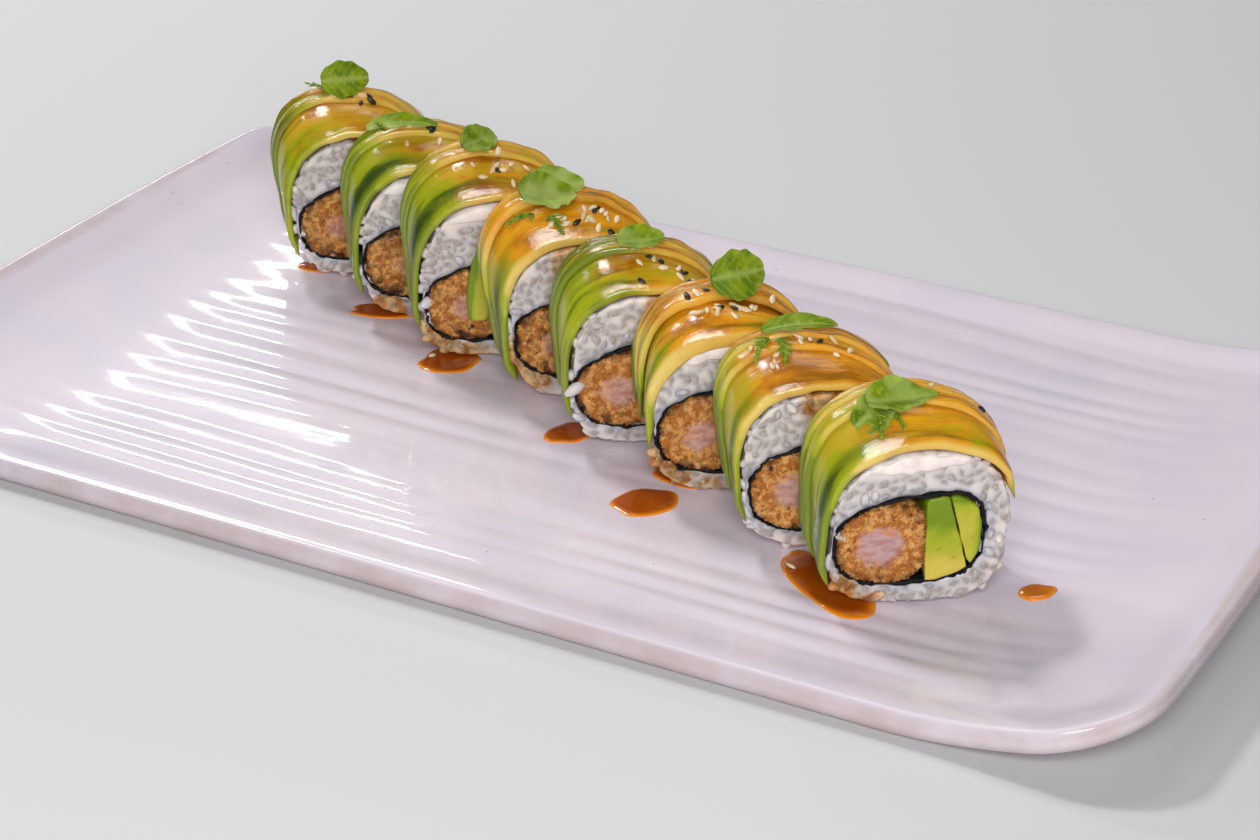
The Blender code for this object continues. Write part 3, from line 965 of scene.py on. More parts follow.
class SmallShapes:
    """The shapes that are strewn, made once and removed at the end."""

    def __init__(self) -> None:
        """Start with none made."""
        self.made: dict[str, Object] = {}

    def pip(self, name: str, around: int, along: int, bend: float, point: float) -> Object:
        """A closed spindle one unit long, wide and thick.

        Args:
            name: its name.
            around: points of each ring.
            along: rings.
            bend: how far its middle rises.
            point: how much narrower one end is than the other.

        Returns:
            The object.
        """
        if name not in self.made:
            angle = circle(around)
            rings = []
            for share in np.linspace(0.06, 0.94, along):
                slim = math.sin(math.pi * share) ** 0.7 * (1.0 - point * share) * 0.5
                x = np.full(around, share - 0.5)
                z = slim * np.sin(angle) + bend * (0.25 - (share - 0.5) ** 2)
                rings.append(np.stack([x, slim * np.cos(angle), z], axis=1))
            made = Shape.loft(np.array(rings), Ends.FAN).build(name, RICE)
            self.made[name] = made
        return self.made[name]

    def crumb(self) -> Object:
        """A ragged crumb, one unit across.

        Returns:
            The object.
        """
        if "crumb" not in self.made:
            work = bmesh.new()
            bmesh.ops.create_icosphere(work, subdivisions=1, radius=0.5)
            for vert in work.verts:
                vert.co *= 1.0 + 0.35 * noise.noise(vert.co * 4.0)
            mesh = bpy.data.meshes.new("crumb")
            work.to_mesh(mesh)
            work.free()
            self.made["crumb"] = link("crumb", mesh)
        return self.made["crumb"]

    def needle(self) -> Object:
        """A tapering needle from the origin to one unit along z, one unit thick at its foot.

        Returns:
            The object.
        """
        if "needle" not in self.made:
            angle = circle(5)
            rings = []
            for height, slim in ((0.0, 0.40), (0.35, 0.50), (0.75, 0.34), (1.0, 0.06)):
                level = np.full(5, height)
                rings.append(np.stack([slim * np.cos(angle), slim * np.sin(angle), level], axis=1))
            self.made["needle"] = Shape.loft(np.array(rings), Ends.FAN).build("needle", RICE)
        return self.made["needle"]

    def clear(self) -> None:
        """Remove them all."""
        for made in self.made.values():
            bpy.data.objects.remove(made)
        self.made.clear()


# ---------------------------------------------------------------- plate


@dataclass(frozen=True)
class Plate:
    """The long plate: lifted short ends, rounded lip and uneven ridges along its floor.

    Attributes:
        length: of the outline before its ends are bowed.
        width: of the outline.
        corner: radius of its corners.
        bow: how far the short ends stand out in the middle.
        rim_height: top of the lip above the table, where the plate isn't lifted.
        floor_height: top of the ridges.
        side_top: where the lip's rounding starts.
        side_foot: bottom of the side.
        foot_inset: how far the underside is drawn in.
        lip_crest: distance in from the edge of the lip's crest.
        dish_inset: distance in of the flat floor.
        arch_height: how far the ends are lifted.
        arch_start: distance from the middle at which that starts.
        arch_power: how it grows.
        ridge_pitch: from one ridge to the next.
        ridge_depth: of the grooves between them.
        seed: fixes how the ridges wander.
    """

    length: float
    width: float
    corner: float = 0.0210
    bow: float = 0.0034
    rim_height: float = 0.0058
    floor_height: float = 0.0042
    side_top: float = 0.0046
    side_foot: float = 0.0009
    foot_inset: float = 0.0015
    lip_crest: float = 0.0014
    dish_inset: float = 0.0140
    arch_height: float = 0.0097
    arch_start: float = 0.1080
    arch_power: float = 1.7
    ridge_pitch: float = 0.0098
    ridge_depth: float = 0.00036
    seed: int = 4

    @staticmethod
    def from_frame() -> "Plate":
        """The plate at the size of its CAD node."""
        low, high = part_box("plate")
        return Plate(high.x - low.x - 2.0 * Plate.bow, high.y - low.y)

    def arch(self, x: Array) -> Array:
        """How far the plate is lifted at this distance along it."""
        share = (np.abs(x) - self.arch_start) / (self.length / 2.0 - self.arch_start)
        return self.arch_height * np.clip(share, 0.0, 1.0) ** self.arch_power

    def half_width(self, x: Array) -> Array:
        """Half the width at this distance along it, round the corners."""
        past = np.clip(np.abs(x) - (self.length / 2.0 - self.corner), 0.0, self.corner)
        return self.width / 2.0 - self.corner + np.sqrt(self.corner**2 - past**2)

    def inset(self, x: Array, y: Array) -> Array:
        """Distance in from the plate's outline.

        Args:
            x: place along the plate.
            y: place across it.

        Returns:
            The distance; below 0 outside.
        """
        past_x = np.abs(x) - (self.length / 2.0 - self.corner)
        past_y = np.abs(y) - (self.width / 2.0 - self.corner)
        outside = np.hypot(np.maximum(past_x, 0.0), np.maximum(past_y, 0.0))
        return self.corner - outside - np.minimum(np.maximum(past_x, past_y), 0.0)

    def ridges(self, x: Array, y: Array) -> Array:
        """Depth of the grooves below the ridges, which wander and run out at the ends.

        Args:
            x: place along the plate.
            y: place across it.

        Returns:
            The depth.
        """
        flat = np.zeros_like(x)
        bands = ripple(np.stack([x / 9.0, y, flat], axis=1), 0.034, self.seed)
        drift = ripple(np.stack([x, y * 0.5, flat], axis=1), 0.110, self.seed + 1)
        phase = y / self.ridge_pitch + 0.42 * bands + 0.16 * drift
        groove = 1.0 - np.abs(np.cos(math.pi * phase)) ** 1.4
        fade = ripple(np.stack([x / 3.0, y, flat], axis=1), 0.030, self.seed + 2)
        strength = 0.70 + 0.30 * fade
        run_out = ease(self.length / 2.0 - 0.020, self.arch_start * 0.86, np.abs(x))
        fine = ripple(np.stack([x / 5.0, y, flat], axis=1), 0.0052, self.seed + 3)
        return run_out * (self.ridge_depth * groove * strength + 0.000018 * (1.0 + fine))

    def top(self, x: Array, y: Array) -> Array:
        """Height of the upper face.

        Args:
            x: place along the plate.
            y: place across it.

        Returns:
            The height.
        """
        deep = self.inset(x, y)
        edge = np.clip(1.0 - deep / self.lip_crest, 0.0, 1.0)
        lip = self.side_top + (self.rim_height - self.side_top) * np.sqrt(1.0 - edge**2)
        fall = ease(self.lip_crest, self.dish_inset, deep)
        dish = self.rim_height + (self.floor_height - self.rim_height) * fall
        height = np.where(deep < self.lip_crest, lip, dish)
        height = height - self.ridges(x, y) * ease(0.008, self.dish_inset, deep)
        return height + self.arch(x)

    def bowed(self, x: Array, y: Array) -> Array:
        """The short ends stand out in the middle."""
        share = 1.0 - (2.0 * y / self.width) ** 2
        return x + self.bow * share * (2.0 * x / self.length) ** 3

    def columns(self) -> Array:
        """Places along the plate of the mesh's lines, close together at the lip.

        Returns:
            The places, from left to right.
        """
        half = self.length / 2.0
        lip = half - np.array([0.0048, 0.0034, 0.0024, 0.0017, 0.0012, 0.0008, 0.0004, 0.0001, 0.0])
        plain = np.linspace(0.0, half - 0.0062, 72)
        right = np.concatenate([plain[1:], lip])
        return np.concatenate([-right[::-1], [0.0], right])

    def rows(self, half: float) -> Array:
        """Places across the plate of the mesh's lines.

        Args:
            half: half the width there.

        Returns:
            The places, from the near edge.
        """
        lip = half - np.array([0.0, 0.0001, 0.0004, 0.0008, 0.0012, 0.0017, 0.0025, 0.0040])
        floor = np.linspace(-(half - 0.0055), half - 0.0055, 240)
        return np.concatenate([-lip, floor, lip[::-1]])

    def build(self) -> Object:
        """One closed mesh: ridged upper face, rounded side with its groove, flat underside.

        Returns:
            The finished piece.
        """
        columns = self.columns()
        grid = []
        for x in columns:
            y = self.rows(float(self.half_width(np.array(x))))
            line = np.full_like(y, x)
            grid.append(np.stack([self.bowed(line, y), y, self.top(line, y)], axis=1))
        top = np.array(grid)
        across = top.shape[1]
        index = np.arange(top.shape[0] * across).reshape(top.shape[0], across)
        quads = [index[:-1, :-1], index[1:, :-1], index[1:, 1:], index[:-1, 1:]]
        faces = np.stack([part.reshape(-1) for part in quads], axis=1).tolist()
        edge = np.concatenate([index[:, 0], index[-1, 1:], index[-2::-1, -1], index[0, -2:0:-1]])
        points = top.reshape(-1, 3)
        rim = 0.9 * ease(0.0011, 0.0, self.inset(points[:, 0], points[:, 1]))
        outline = points[edge]
        lift = self.arch(outline[:, 0])
        parts = [points]
        tints = [rim]
        ring = edge
        size = np.array([self.length, self.width])
        sides = ((0.00025, 0.0036, 1.0), (0.0, 0.0030, 1.0), (0.0, self.side_foot, 1.0))
        for drawn_in, height, tint in (*sides, (self.foot_inset, 0.0, 0.5)):
            shrink = 1.0 - 2.0 * drawn_in / size
            ring = self.skirt(parts, faces, ring, outline[:, :2] * shrink, lift + height)
            tints.append(np.full(len(ring), tint))
        faces += self.underside(ring, len(columns), across)
        shape = Shape(np.concatenate(parts), faces, {"rim": np.concatenate(tints)})
        return hand_over(shape.build("ridged_plate", PLATE_GLAZE), "plate", "plate")

    @staticmethod
    def underside(foot: Array, along: int, across: int) -> list[list[int]]:
        """Strips from the near edge to the far edge, then one face for each short end.

        Args:
            foot: indices of the lowest ring: near edge, right end, far edge, left end.
            along: points along the plate.
            across: points across it.

        Returns:
            The faces.
        """
        near = foot[:along]
        far = foot[along + across - 2 : 2 * along + across - 2][::-1]
        strip = slice(1, along - 2)
        ahead = slice(2, along - 1)
        faces = np.stack([near[strip], near[ahead], far[ahead], far[strip]], axis=1).tolist()
        right_end = foot[along - 2 : along + across].tolist()
        left_end = foot[2 * along + across - 4 :].tolist() + foot[:2].tolist()
        return faces + [right_end, left_end]

    @staticmethod
    def skirt(
        parts: list[Array],
        faces: list[list[int]],
        above: Array,
        outline: Array,
        height: Array,
    ) -> Array:
        """Add a ring of points below the last one, with the band of faces between.

        Args:
            parts: the mesh's points so far; the ring is added.
            faces: the mesh's faces so far; the band is added.
            above: indices of the ring above.
            outline: the new ring's x and y.
            height: the new ring's z.

        Returns:
            Indices of the new ring.
        """
        start = sum(len(part) for part in parts)
        ring = start + np.arange(len(above))
        parts.append(np.column_stack([outline, height]))
        band = np.stack([above, np.roll(above, -1), np.roll(ring, -1), ring], axis=1)
        faces.extend(band.tolist())
        return ring


# ---------------------------------------------------------------- roll


@dataclass(frozen=True)
class Spill:
    """A place on the rice that sauce has reached, in the piece's x and z."""

    x: float
    z: float
    radius: float
    strength: float = 1.0


@dataclass(frozen=True)
class Cut:
    """One piece of the roll, and how it differs from its neighbours.

    Attributes:
        forward: step of its front face from the piece behind, along the row.
        aside: the same step, to the right.
        thickness: front to back.
        turn: degrees that it is turned from the others.
        width: its width as a share of the section's.
        height: its height as a share of the section's.
        core_turn: degrees that its fillings are turned.
        topping_left: where the topping ends on the left, in degrees round the section.
        topping_right: where it ends on the right.
        crown: how high the topping's middle rises.
        cream: whether cream lies under the topping.
        lift: how far it stands off the plate.
        lean: how far its foot is to the left of its top.
        amber: how much glaze lies on it.
        amber_from: share of the way over the top at which the glaze starts.
        spills: where sauce has soaked into its rice.
        green_to: share of the way over at which the green of the slices fades out.
        edge: extra thickness of the front slice.
        meat: how far the prawn's meat shows at the cut face.
    """

    forward: float
    aside: float
    thickness: float
    turn: float
    width: float
    height: float
    core_turn: float
    topping_left: float
    topping_right: float
    crown: float
    cream: bool
    lift: float
    lean: float
    amber: float
    amber_from: float
    spills: tuple[Spill, ...]
    green_to: float
    edge: float
    meat: float


# The way along a slice of avocado, from its left tip to its right tip.
SHARE = np.linspace(0.0, 1.0, 60)[:, None]
# Where each slice of a fan starts, as a share of the way back through the piece.
SLICE_STARTS = np.array([0.0, 0.35, 0.57, 0.78, 1.0])
SLICES_OF_FAN = len(SLICE_STARTS) - 1

# The pieces from the far end of the row to the near one.
CUTS = (
    Cut(
        0.0, 0.0, 0.025, 1.5, 1.0, 1.04, 6.0, 206.0, 24.0, 1.15, False, 0.0006, -0.0012, 0.75, 0.1,
        (Spill(0.003, 0.034, 0.008), Spill(-0.002, 0.001, 0.006, 0.5)), 0.62, 0.0, 0.30,
    ),
    Cut(
        0.0256, 0.0154, 0.0246, 0.5, 0.98, 1.07, -4.0, 204.0, 20.0, 1.12, True, 0.0, 0.0, 0.65, 0.3,
        (Spill(-0.012, 0.002, 0.006, 0.8), Spill(-0.001, 0.0, 0.008, 0.6)), 0.66, 0.0002, 0.12,
    ),
    Cut(
        0.0248, 0.014, 0.0239, 0.0, 1.0, 1.14, 5.0, 202.0, 18.0, 1.3, True, 0.0, 0.0016, 0.7, 0.22,
        (Spill(-0.015, 0.003, 0.007), Spill(-0.006, 0.0, 0.006, 0.7)), 0.62, 0.0, 0.40,
    ),
    Cut(
        0.0242, 0.017, 0.0204, 0.0, 1.0, 1.1, -6.0, 214.0, 16.0, 1.32, False, 0.0, -0.0018, 1.0, 0.16,
        (Spill(0.0, 0.035, 0.010), Spill(-0.016, 0.008, 0.009)), 0.42, 0.0006, 0.30,
    ),
    Cut(
        0.0256, 0.012, 0.0246, -0.5, 0.99, 1.05, 3.0, 200.0, 22.0, 1.1, False, 0.0, 0.0, 0.72, 0.24,
        (Spill(0.006, 0.034, 0.009), Spill(0.016, 0.025, 0.008)), 0.80, 0.0, 0.62,
    ),
    Cut(
        0.0246, 0.0152, 0.0236, 0.5, 1.0, 1.05, -3.0, 190.0, 20.0, 1.0, True, 0.0, 0.0, 1.0, 0.14,
        (Spill(-0.016, 0.006, 0.008), Spill(-0.006, 0.0, 0.006, 0.6)), 0.26, 0.0024, 0.58,
    ),
    Cut(
        0.028, 0.0138, 0.0262, 0.0, 1.0, 1.05, 4.0, 204.0, 22.0, 1.0, False, 0.0, -0.0028, 1.1, 0.26,
        (Spill(0.002, 0.036, 0.009), Spill(0.001, 0.0, 0.006, 0.7)), 0.44, 0.0, 0.78,
    ),
    Cut(
        0.0256, 0.0166, 0.0246, 0.0, 1.0, 1.0, 0.0, 210.0, 17.0, 1.2, True, 0.0, 0.0024, 0.95, 0.34,
        (Spill(-0.017, 0.003, 0.006), Spill(-0.010, 0.0, 0.005, 0.6)), 0.50, 0.0, 1.0,
    ),
)


@dataclass(frozen=True)
class Stand:
    """Where a piece stands: the foot of its front face and the way it is turned."""

    origin: Array
    heading: float

    def turn(self, local: Array) -> Array:
        """Turn from the piece's frame into the model's.

        Args:
            local: directions.

        Returns:
            The turned directions.
        """
        cosine = math.cos(self.heading)
        sine = math.sin(self.heading)
        x, y, z = local[..., 0], local[..., 1], local[..., 2]
        return np.stack([x * cosine - y * sine, x * sine + y * cosine, z], axis=-1)

    def place(self, local: Array) -> Array:
        """Points of the piece's frame in the model's frame."""
        return self.turn(local) + self.origin

    def local(self, points: Array) -> Array:
        """Points of the model's frame in the piece's frame."""
        return Stand(np.zeros(3), -self.heading).turn(points - self.origin)


@dataclass(frozen=True)
class Section:
    """The roll's section: the rice's outline and the wrapped core inside it."""

    cut: Cut
    half_width: float = 0.0191
    rice_height: float = 0.0358
    top_power: float = 2.4
    foot_power: float = 3.6
    core_centre: tuple[float, float] = (-0.0020, 0.0152)
    core_half_width: float = 0.0160
    core_half_height: float = 0.0104
    core_power: float = 2.7
    core_tilt: float = 0.17

    @property
    def height(self) -> float:
        """Height of the rice."""
        return self.rice_height * self.cut.height

    def rice(self, angle: Array, grow: Array) -> Array:
        """The rice's outline.

        Args:
            angle: parameter round it.
            grow: how far it is moved out.

        Returns:
            Its points: x and z in the last axis.
        """
        half = self.height / 2.0
        power = np.where(np.sin(angle) > 0.0, self.top_power, self.foot_power)
        width = self.half_width * self.cut.width
        x, z = superellipse(angle, width + grow, half + grow, power)
        return np.stack([x, z + half], axis=-1)

    def core(self, angle: Array, shrink: Array) -> Array:
        """The wrapped core's outline.

        Args:
            angle: parameter round it.
            shrink: how far it is drawn in.

        Returns:
            Its points: x and z in the last axis.
        """
        x, z = superellipse(
            angle, self.core_half_width - shrink, self.core_half_height - shrink, self.core_power
        )
        z = z + np.where(z > 0.0, self.core_tilt * x * z / self.core_half_height, 0.0)
        turn = math.radians(self.cut.core_turn)
        return np.stack(
            [
                self.core_centre[0] + x * math.cos(turn) - z * math.sin(turn),
                self.core_centre[1] + x * math.sin(turn) + z * math.cos(turn),
            ],
            axis=-1,
        )


def across_piece(section: Array, depth: Array | float) -> Array:
    """Points of a section at a depth into the piece."""
    y = np.broadcast_to(depth, section.shape[:-1])
    return np.stack([section[..., 0], y, section[..., 1]], axis=-1)


@dataclass(frozen=True)
class RollPiece:
    """One cut piece: rice, nori, fillings, cream and its fan of avocado slices."""

    number: int
    cut: Cut
    stand: Stand
    shapes: SmallShapes
    scatter: StrewTree

    @property
    def section(self) -> Section:
        """The section of this piece."""
        return Section(self.cut)

    def place(self, local: Array) -> Array:
        """Lean the upright section as this piece leans, and put it in its place.

        Args:
            local: points in the piece's frame.

        Returns:
            The points in the model's frame.
        """
        leaned = np.array(local)
        leaned[..., 0] -= self.cut.lean * (1.0 - leaned[..., 2] / self.section.height)
        return self.stand.place(leaned)

    def stain(self, local: Array) -> Array:
        """How much sauce has soaked in.

        Args:
            local: points in the piece's frame.

        Returns:
            A share from 0 to 1 for each point.
        """
        total = np.zeros(len(local))
        for spill in self.cut.spills:
            far = np.hypot(local[:, 0] - spill.x, local[:, 2] - spill.z)
            total = np.maximum(total, spill.strength * ease(1.35, 0.35, far / spill.radius))
        return total

    def rice(self) -> Object:
        """A lumpy tube of packed rice with grains all over what shows of it.

        Returns:
            The finished piece.
        """
        around, face_rings, side_rings = 150, 9, 13
        sunk, bevel = 0.0007, 0.0018
        angle = circle(around)
        outer = self.section.rice(angle, np.full(around, -0.0006))
        inner = self.section.core(angle, np.full(around, -0.0002))
        deep = self.cut.thickness
        face = [inner + (outer - inner) * share for share in np.linspace(0.0, 1.0, face_rings)]
        rings = [across_piece(outline, sunk) for outline in face]
        rings += [across_piece(outer, y) for y in np.linspace(bevel, deep - bevel, side_rings)]
        rings += [across_piece(outline, deep - sunk) for outline in reversed(face)]
        local = np.array(rings)
        shape = Shape.loft(local, Ends.LOOP)
        flat = local.reshape(-1, 3)
        lumps = 0.0008 * (pebbles(flat + self.number, 0.0030) - 0.55)
        ring = np.repeat(np.arange(len(rings)), around)
        on_side = (ring >= face_rings - 1) & (ring <= face_rings + side_rings)
        hidden = on_side & self.covered(flat)
        border = (ring == 0) | (ring == len(rings) - 1)
        border |= self.under_cream(flat)
        few = 0.05
        shape.fields = {
            "room": np.where(hidden | border, 0.0, np.where(on_side, few, 1.0)),
            "stain": self.stain(flat),
            # Painted shade: rice within about 3 mm of the nori is tinted bluish grey.
            "painted_shade_near_nori": 0.65 * ease(0.0030, 0.0006, self.beyond_core(flat)),
            "tone": np.full(len(flat), 0.35),
        }
        shape.points = self.place(shape.points)
        carrier = shape.build(f"rice_{self.number}_core", RICE, lumps)
        values = {
            "Shape": self.shapes.pip("grain", 7, 7, 0.12, 0.12),
            "Finish": RICE.material(),
            "Spacing": 0.00175,
            "Density": 1000000.0,
            "Sink": -0.00122,
            "Tilt": 0.20,
            "Least size": (0.0046, 0.0026, 0.0024),
            "Most size": (0.0064, 0.0034, 0.0029),
            "Seed": self.number,
        }
        made = self.scatter.make(f"packed_rice_{self.number}", carrier, values)
        return hand_over(made, "rice", f"rice_{self.number}")

    def beyond_core(self, local: Array) -> Array:
        """Distance to the wrapped core's outline.

        Args:
            local: points in the piece's frame.

        Returns:
            The distances.
        """
        outline = self.section.core(circle(72), np.zeros(72))
        away = local[:, None, [0, 2]] - outline[None, :, :]
        return np.hypot(away[..., 0], away[..., 1]).min(axis=1)

    def covered(self, local: Array) -> Array:
        """Where the avocado slices hide the rice.

        Args:
            local: points in the piece's frame.

        Returns:
            True for each hidden point.
        """
        margin = 14.0
        half = self.section.height / 2.0
        angle = np.degrees(np.arctan2(local[:, 2] - half, local[:, 0])) % 360.0
        return (angle > self.cut.topping_right + margin) & (angle < self.cut.topping_left - margin)

    def under_cream(self, local: Array) -> Array:
        """Where cream covers the rice.

        Args:
            local: points in the piece's frame.

        Returns:
            True for each covered point.
        """
        half = self.section.height / 2.0
        reach = np.hypot(local[:, 0] / self.section.half_width, (local[:, 2] - half) / half)
        angle = np.degrees(np.arctan2(local[:, 2] - half, local[:, 0]))
        return self.cut.cream & (reach > 0.80) & (angle > 58.0) & (angle < 136.0)

    def nori(self) -> Object:
        """The crinkled sheet round the fillings, its cut edges slightly proud.

        Returns:
            The finished piece.
        """
        around = 140
        angle = circle(around)
        ring = spokes(angle) * 0.014
        rings = []
        deep = self.cut.thickness
        walk = [(-0.00012, d) for d in (0.0, 0.02, 0.06, 0.2, 0.5, 0.8, 0.94, 0.98, 1.0)]
        walk += [(0.00038, d) for d in (1.0, 0.98, 0.94, 0.8, 0.5, 0.2, 0.06, 0.02, 0.0)]
        for shrink, share in walk:
            depth = 0.0002 + (deep - 0.0004) * share
            where = np.column_stack([ring, np.full(around, depth)])
            wave = ripple(where, 0.0065, 40 + self.number)
            ragged = 0.00026 * ripple(where, 0.0017, 50 + self.number)
            near_cut = abs(2.0 * share - 1.0) ** 8
            swell = 0.00024 * ripple(where, 0.0100, 70 + self.number) * (shrink > 0.0)
            outline = self.section.core(angle, shrink + 0.00022 * wave + swell - ragged * near_cut)
            proud = 0.00030 * ripple(where, 0.0022, 60 + self.number) * near_cut
            rings.append(across_piece(outline, depth + proud))
        local = np.array(rings)
        shape = Shape.loft(self.place(local), Ends.LOOP)
        return hand_over(shape.build(f"nori_wrap_{self.number}", NORI), "nori", f"nori_{self.number}")

    def block(self, node: str, rounding: float, around: int, steps: int) -> tuple[Shape, Array]:
        """A filling grown from its CAD node's outline, with fine faces and rounded edges.

        Args:
            node: the CAD node.
            rounding: radius of its front and back edges.
            around: points round it.
            steps: rings across each cut face.

        Returns:
            The shape in the model's frame, and its points in the piece's frame.
        """
        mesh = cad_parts[node].data
        flat = np.empty(len(mesh.vertices) * 3)
        mesh.vertices.foreach_get("co", flat)
        corners = self.stand.local(flat.reshape(-1, 3))
        front, back = corners[:, 1].min(), corners[:, 1].max()
        middle = (corners[:, [0, 2]].min(axis=0) + corners[:, [0, 2]].max(axis=0)) / 2.0
        angle = np.linspace(-math.pi, math.pi, around, endpoint=False)
        hull = self.hull_reach(corners[:, [0, 2]] - middle, angle)
        out = spokes(angle) * hull[:, None]
        start = 1.0 - rounding / hull.mean()
        profile = [(share, 0.0) for share in np.linspace(0.05, start, steps)]
        for bend in np.linspace(0.0, math.pi / 2.0, 5)[1:]:
            reach = start + (1.0 - start) * math.sin(bend)
            profile.append((reach, rounding * (1.0 - math.cos(bend))))
        length = back - front
        sides = [(1.0, d) for d in np.linspace(rounding, length - rounding, 8)[1:-1]]
        profile += sides + [(share, length - depth) for share, depth in reversed(profile)]
        rings = [across_piece(middle + out * share, front + depth) for share, depth in profile]
        shape = Shape.loft(np.array(rings), Ends.FAN)
        local = shape.points.copy()
        shape.points = self.stand.place(local)
        return shape, local

    @staticmethod
    def hull_reach(spoke: Array, angle: Array) -> Array:
        """How far a convex outline reaches from its middle in each direction.

        Args:
            spoke: the outline's corners from the middle, in any order.
            angle: the directions.

        Returns:
            The reach in each direction.
        """
        ways = spokes(angle)
        sides = np.stack([-ways[:, 1], ways[:, 0]], axis=1)
        reach = np.zeros(len(angle))
        for first in spoke:
            for second in spoke:
                cross_first = sides @ first
                cross_second = sides @ second
                swap = cross_first * cross_second < 0.0
                share = np.where(swap, cross_first / (cross_first - cross_second + 1e-15), 0.0)
                hit = ways @ first * (1.0 - share) + ways @ second * share
                reach = np.where(swap, np.maximum(reach, hit), reach)
        return reach

    def prawn(self) -> Object:
        """Prawn meat in its crumb coat, with loose crumbs standing on the coat.

        Returns:
            The finished piece.
        """
        node = f"prawn_{self.number}"
        shape, local = self.block(node, 0.0007, 110, 16)
        low, high = local.min(axis=0), local.max(axis=0)
        middle = (low + high) / 2.0
        x = (local[:, 0] - middle[0]) / 0.0054
        z = (local[:, 2] - middle[2] + 0.0003) / 0.0043
        wobble = ripple(local, 0.0070, 80 + self.number)
        fine = ripple(local, 0.0018, 85 + self.number)
        middle_out = np.hypot(x, z) / (0.55 + 0.45 * self.cut.meat)
        crust = ease(0.70, 1.22, middle_out + 0.13 * wobble + 0.08 * fine)
        crust = 1.0 - (1.0 - crust) * (0.15 + 0.85 * self.cut.meat)
        at_face = ease(0.0014, 0.0005, np.minimum(local[:, 1] - low[1], high[1] - local[:, 1]))
        rough = pebbles(local + 3.0 * self.number, 0.0011) - 0.5
        seam = np.exp(-(((middle_out + 0.11 * wobble) - 1.02) ** 2) / 0.010)
        dome = 0.00035 * np.clip(1.0 - np.hypot(x, z), 0.0, 1.0)
        relief = 0.00018 + 0.00055 * crust * rough + dome - 0.00018 * seam * at_face
        shape.fields = {
            "crust": crust,
            "room": ease(0.75, 1.0, crust) * at_face,
            "char_and_shade": self.char_and_shade(local),
            "across": local[:, 0],
            "up": local[:, 2],
        }
        carrier = shape.build(f"{node}_body", PRAWN, relief)
        values = {
            "Shape": self.shapes.crumb(),
            "Finish": PRAWN.material(),
            "Spacing": 0.00062,
            "Density": 3000000.0,
            "Sink": 0.00004,
            "Tilt": 1.2,
            "Least size": (0.00035, 0.00030, 0.00030),
            "Most size": (0.00095, 0.00075, 0.00070),
            "Seed": self.number,
        }
        made = self.scatter.make(f"crumbed_prawn_{self.number}", carrier, values)
        return hand_over(made, "crumbed_prawn", node)

    def char_and_shade(self, local: Array) -> Array:
        """How dark the crumb is: darker towards its foot and on the left, with painted shade along its
        outline where it meets the nori.

        Args:
            local: points in the piece's frame.

        Returns:
            A share from 0 to 1 for each point.
        """
        share = box_shares(local)
        out = np.hypot(2.0 * share[:, 0] - 1.0, 2.0 * share[:, 2] - 1.0)
        patch = ease(-0.7, 0.5, ripple(local, 0.0026, 7 + self.number))
        foot = 0.85 * ease(0.30, 0.0, share[:, 2] + 0.30 * ease(0.45, 0.95, share[:, 0]))
        # Painted shade along the outline, where the crumb meets the nori.
        outline = 0.60 * ease(0.84, 1.02, out)
        # Pieces that show little meat get darker crumb all over.
        darker_with_less_meat = 0.38 * (1.0 - self.cut.meat)
        return np.clip(np.maximum(foot, outline) + darker_with_less_meat, 0.0, 1.0) * patch

    def stick(self, letter: str) -> Object:
        """One stick of avocado; the first is greener at its top than the second.

        Args:
            letter: a for the one beside the prawn, b for the outer one.

        Returns:
            The finished piece.
        """
        node = f"avocado_stick_{letter}_{self.number}"
        shape, local = self.block(node, 0.0005, 64, 7)
        right, _, up = box_shares(local).T
        if letter == "a":
            skin = ease(0.05, 0.95, up) * 0.95 + 0.10
        else:
            skin = 0.30 + 0.60 * ease(0.72, 1.0, np.maximum(up, right))
        shape.fields = {"skin": skin}
        relief = 0.00014 * ripple(local, 0.0045, 90 + self.number)
        made = shape.build(f"{node}_cut", FLESH, relief)
        return hand_over(made, "avocado", node)

    def cream(self) -> Object:
        """The bed of cream that shows between the rice and the topping.

        Returns:
            The finished piece.
        """
        start, end = math.radians(66.0), math.radians(134.0)
        most_thick, in_rice, proud = 0.0050, 0.0002, 0.0002
        loop = circle(30)
        deep, along = superellipse(loop, 0.5, 0.5, 5.0)
        rings = []
        for share in np.linspace(0.0, 1.0, 36):
            full = 0.12 + 0.88 * math.sin(math.pi * share) ** 0.6
            thick = most_thick * full
            angle = np.full(len(loop), start + (end - start) * share)
            outline = self.section.rice(angle, -in_rice - thick * (deep + 0.5))
            length = (self.cut.thickness + proud) * (0.92 + 0.08 * full)
            rings.append(across_piece(outline, self.cut.thickness / 2.0 + along * length))
        local = np.array(rings)
        shape = Shape.loft(self.place(local), Ends.FAN)
        relief = 0.00035 * ripple(shape.points, 0.0050, 30 + self.number)
        made = shape.build(f"cream_bed_{self.number}", CREAM, relief)
        return hand_over(made, "cream_cheese", f"cream_{self.number}")

    def dome(self, round_share: Array, back_share: Array) -> Array:
        """Height of the topping's outside above the rice.

        Args:
            round_share: share of the way over the top.
            back_share: share of the way back.

        Returns:
            The height.
        """
        ridge = np.sin(math.pi * np.clip(back_share, 0.0, 1.0)) ** 0.7
        top = 0.0030 + (0.0090 * self.cut.crown - 0.0030) * ridge
        over = np.sin(math.pi * np.clip(round_share, 0.0, 1.0)) ** 2
        full = 0.0020 + (top - 0.0020) * over
        taper = np.minimum(1.0, np.minimum(round_share / 0.08, (1.0 - round_share) / 0.10))
        return 0.0008 + (full - 0.0008) * np.clip(taper, 0.0, 1.0)

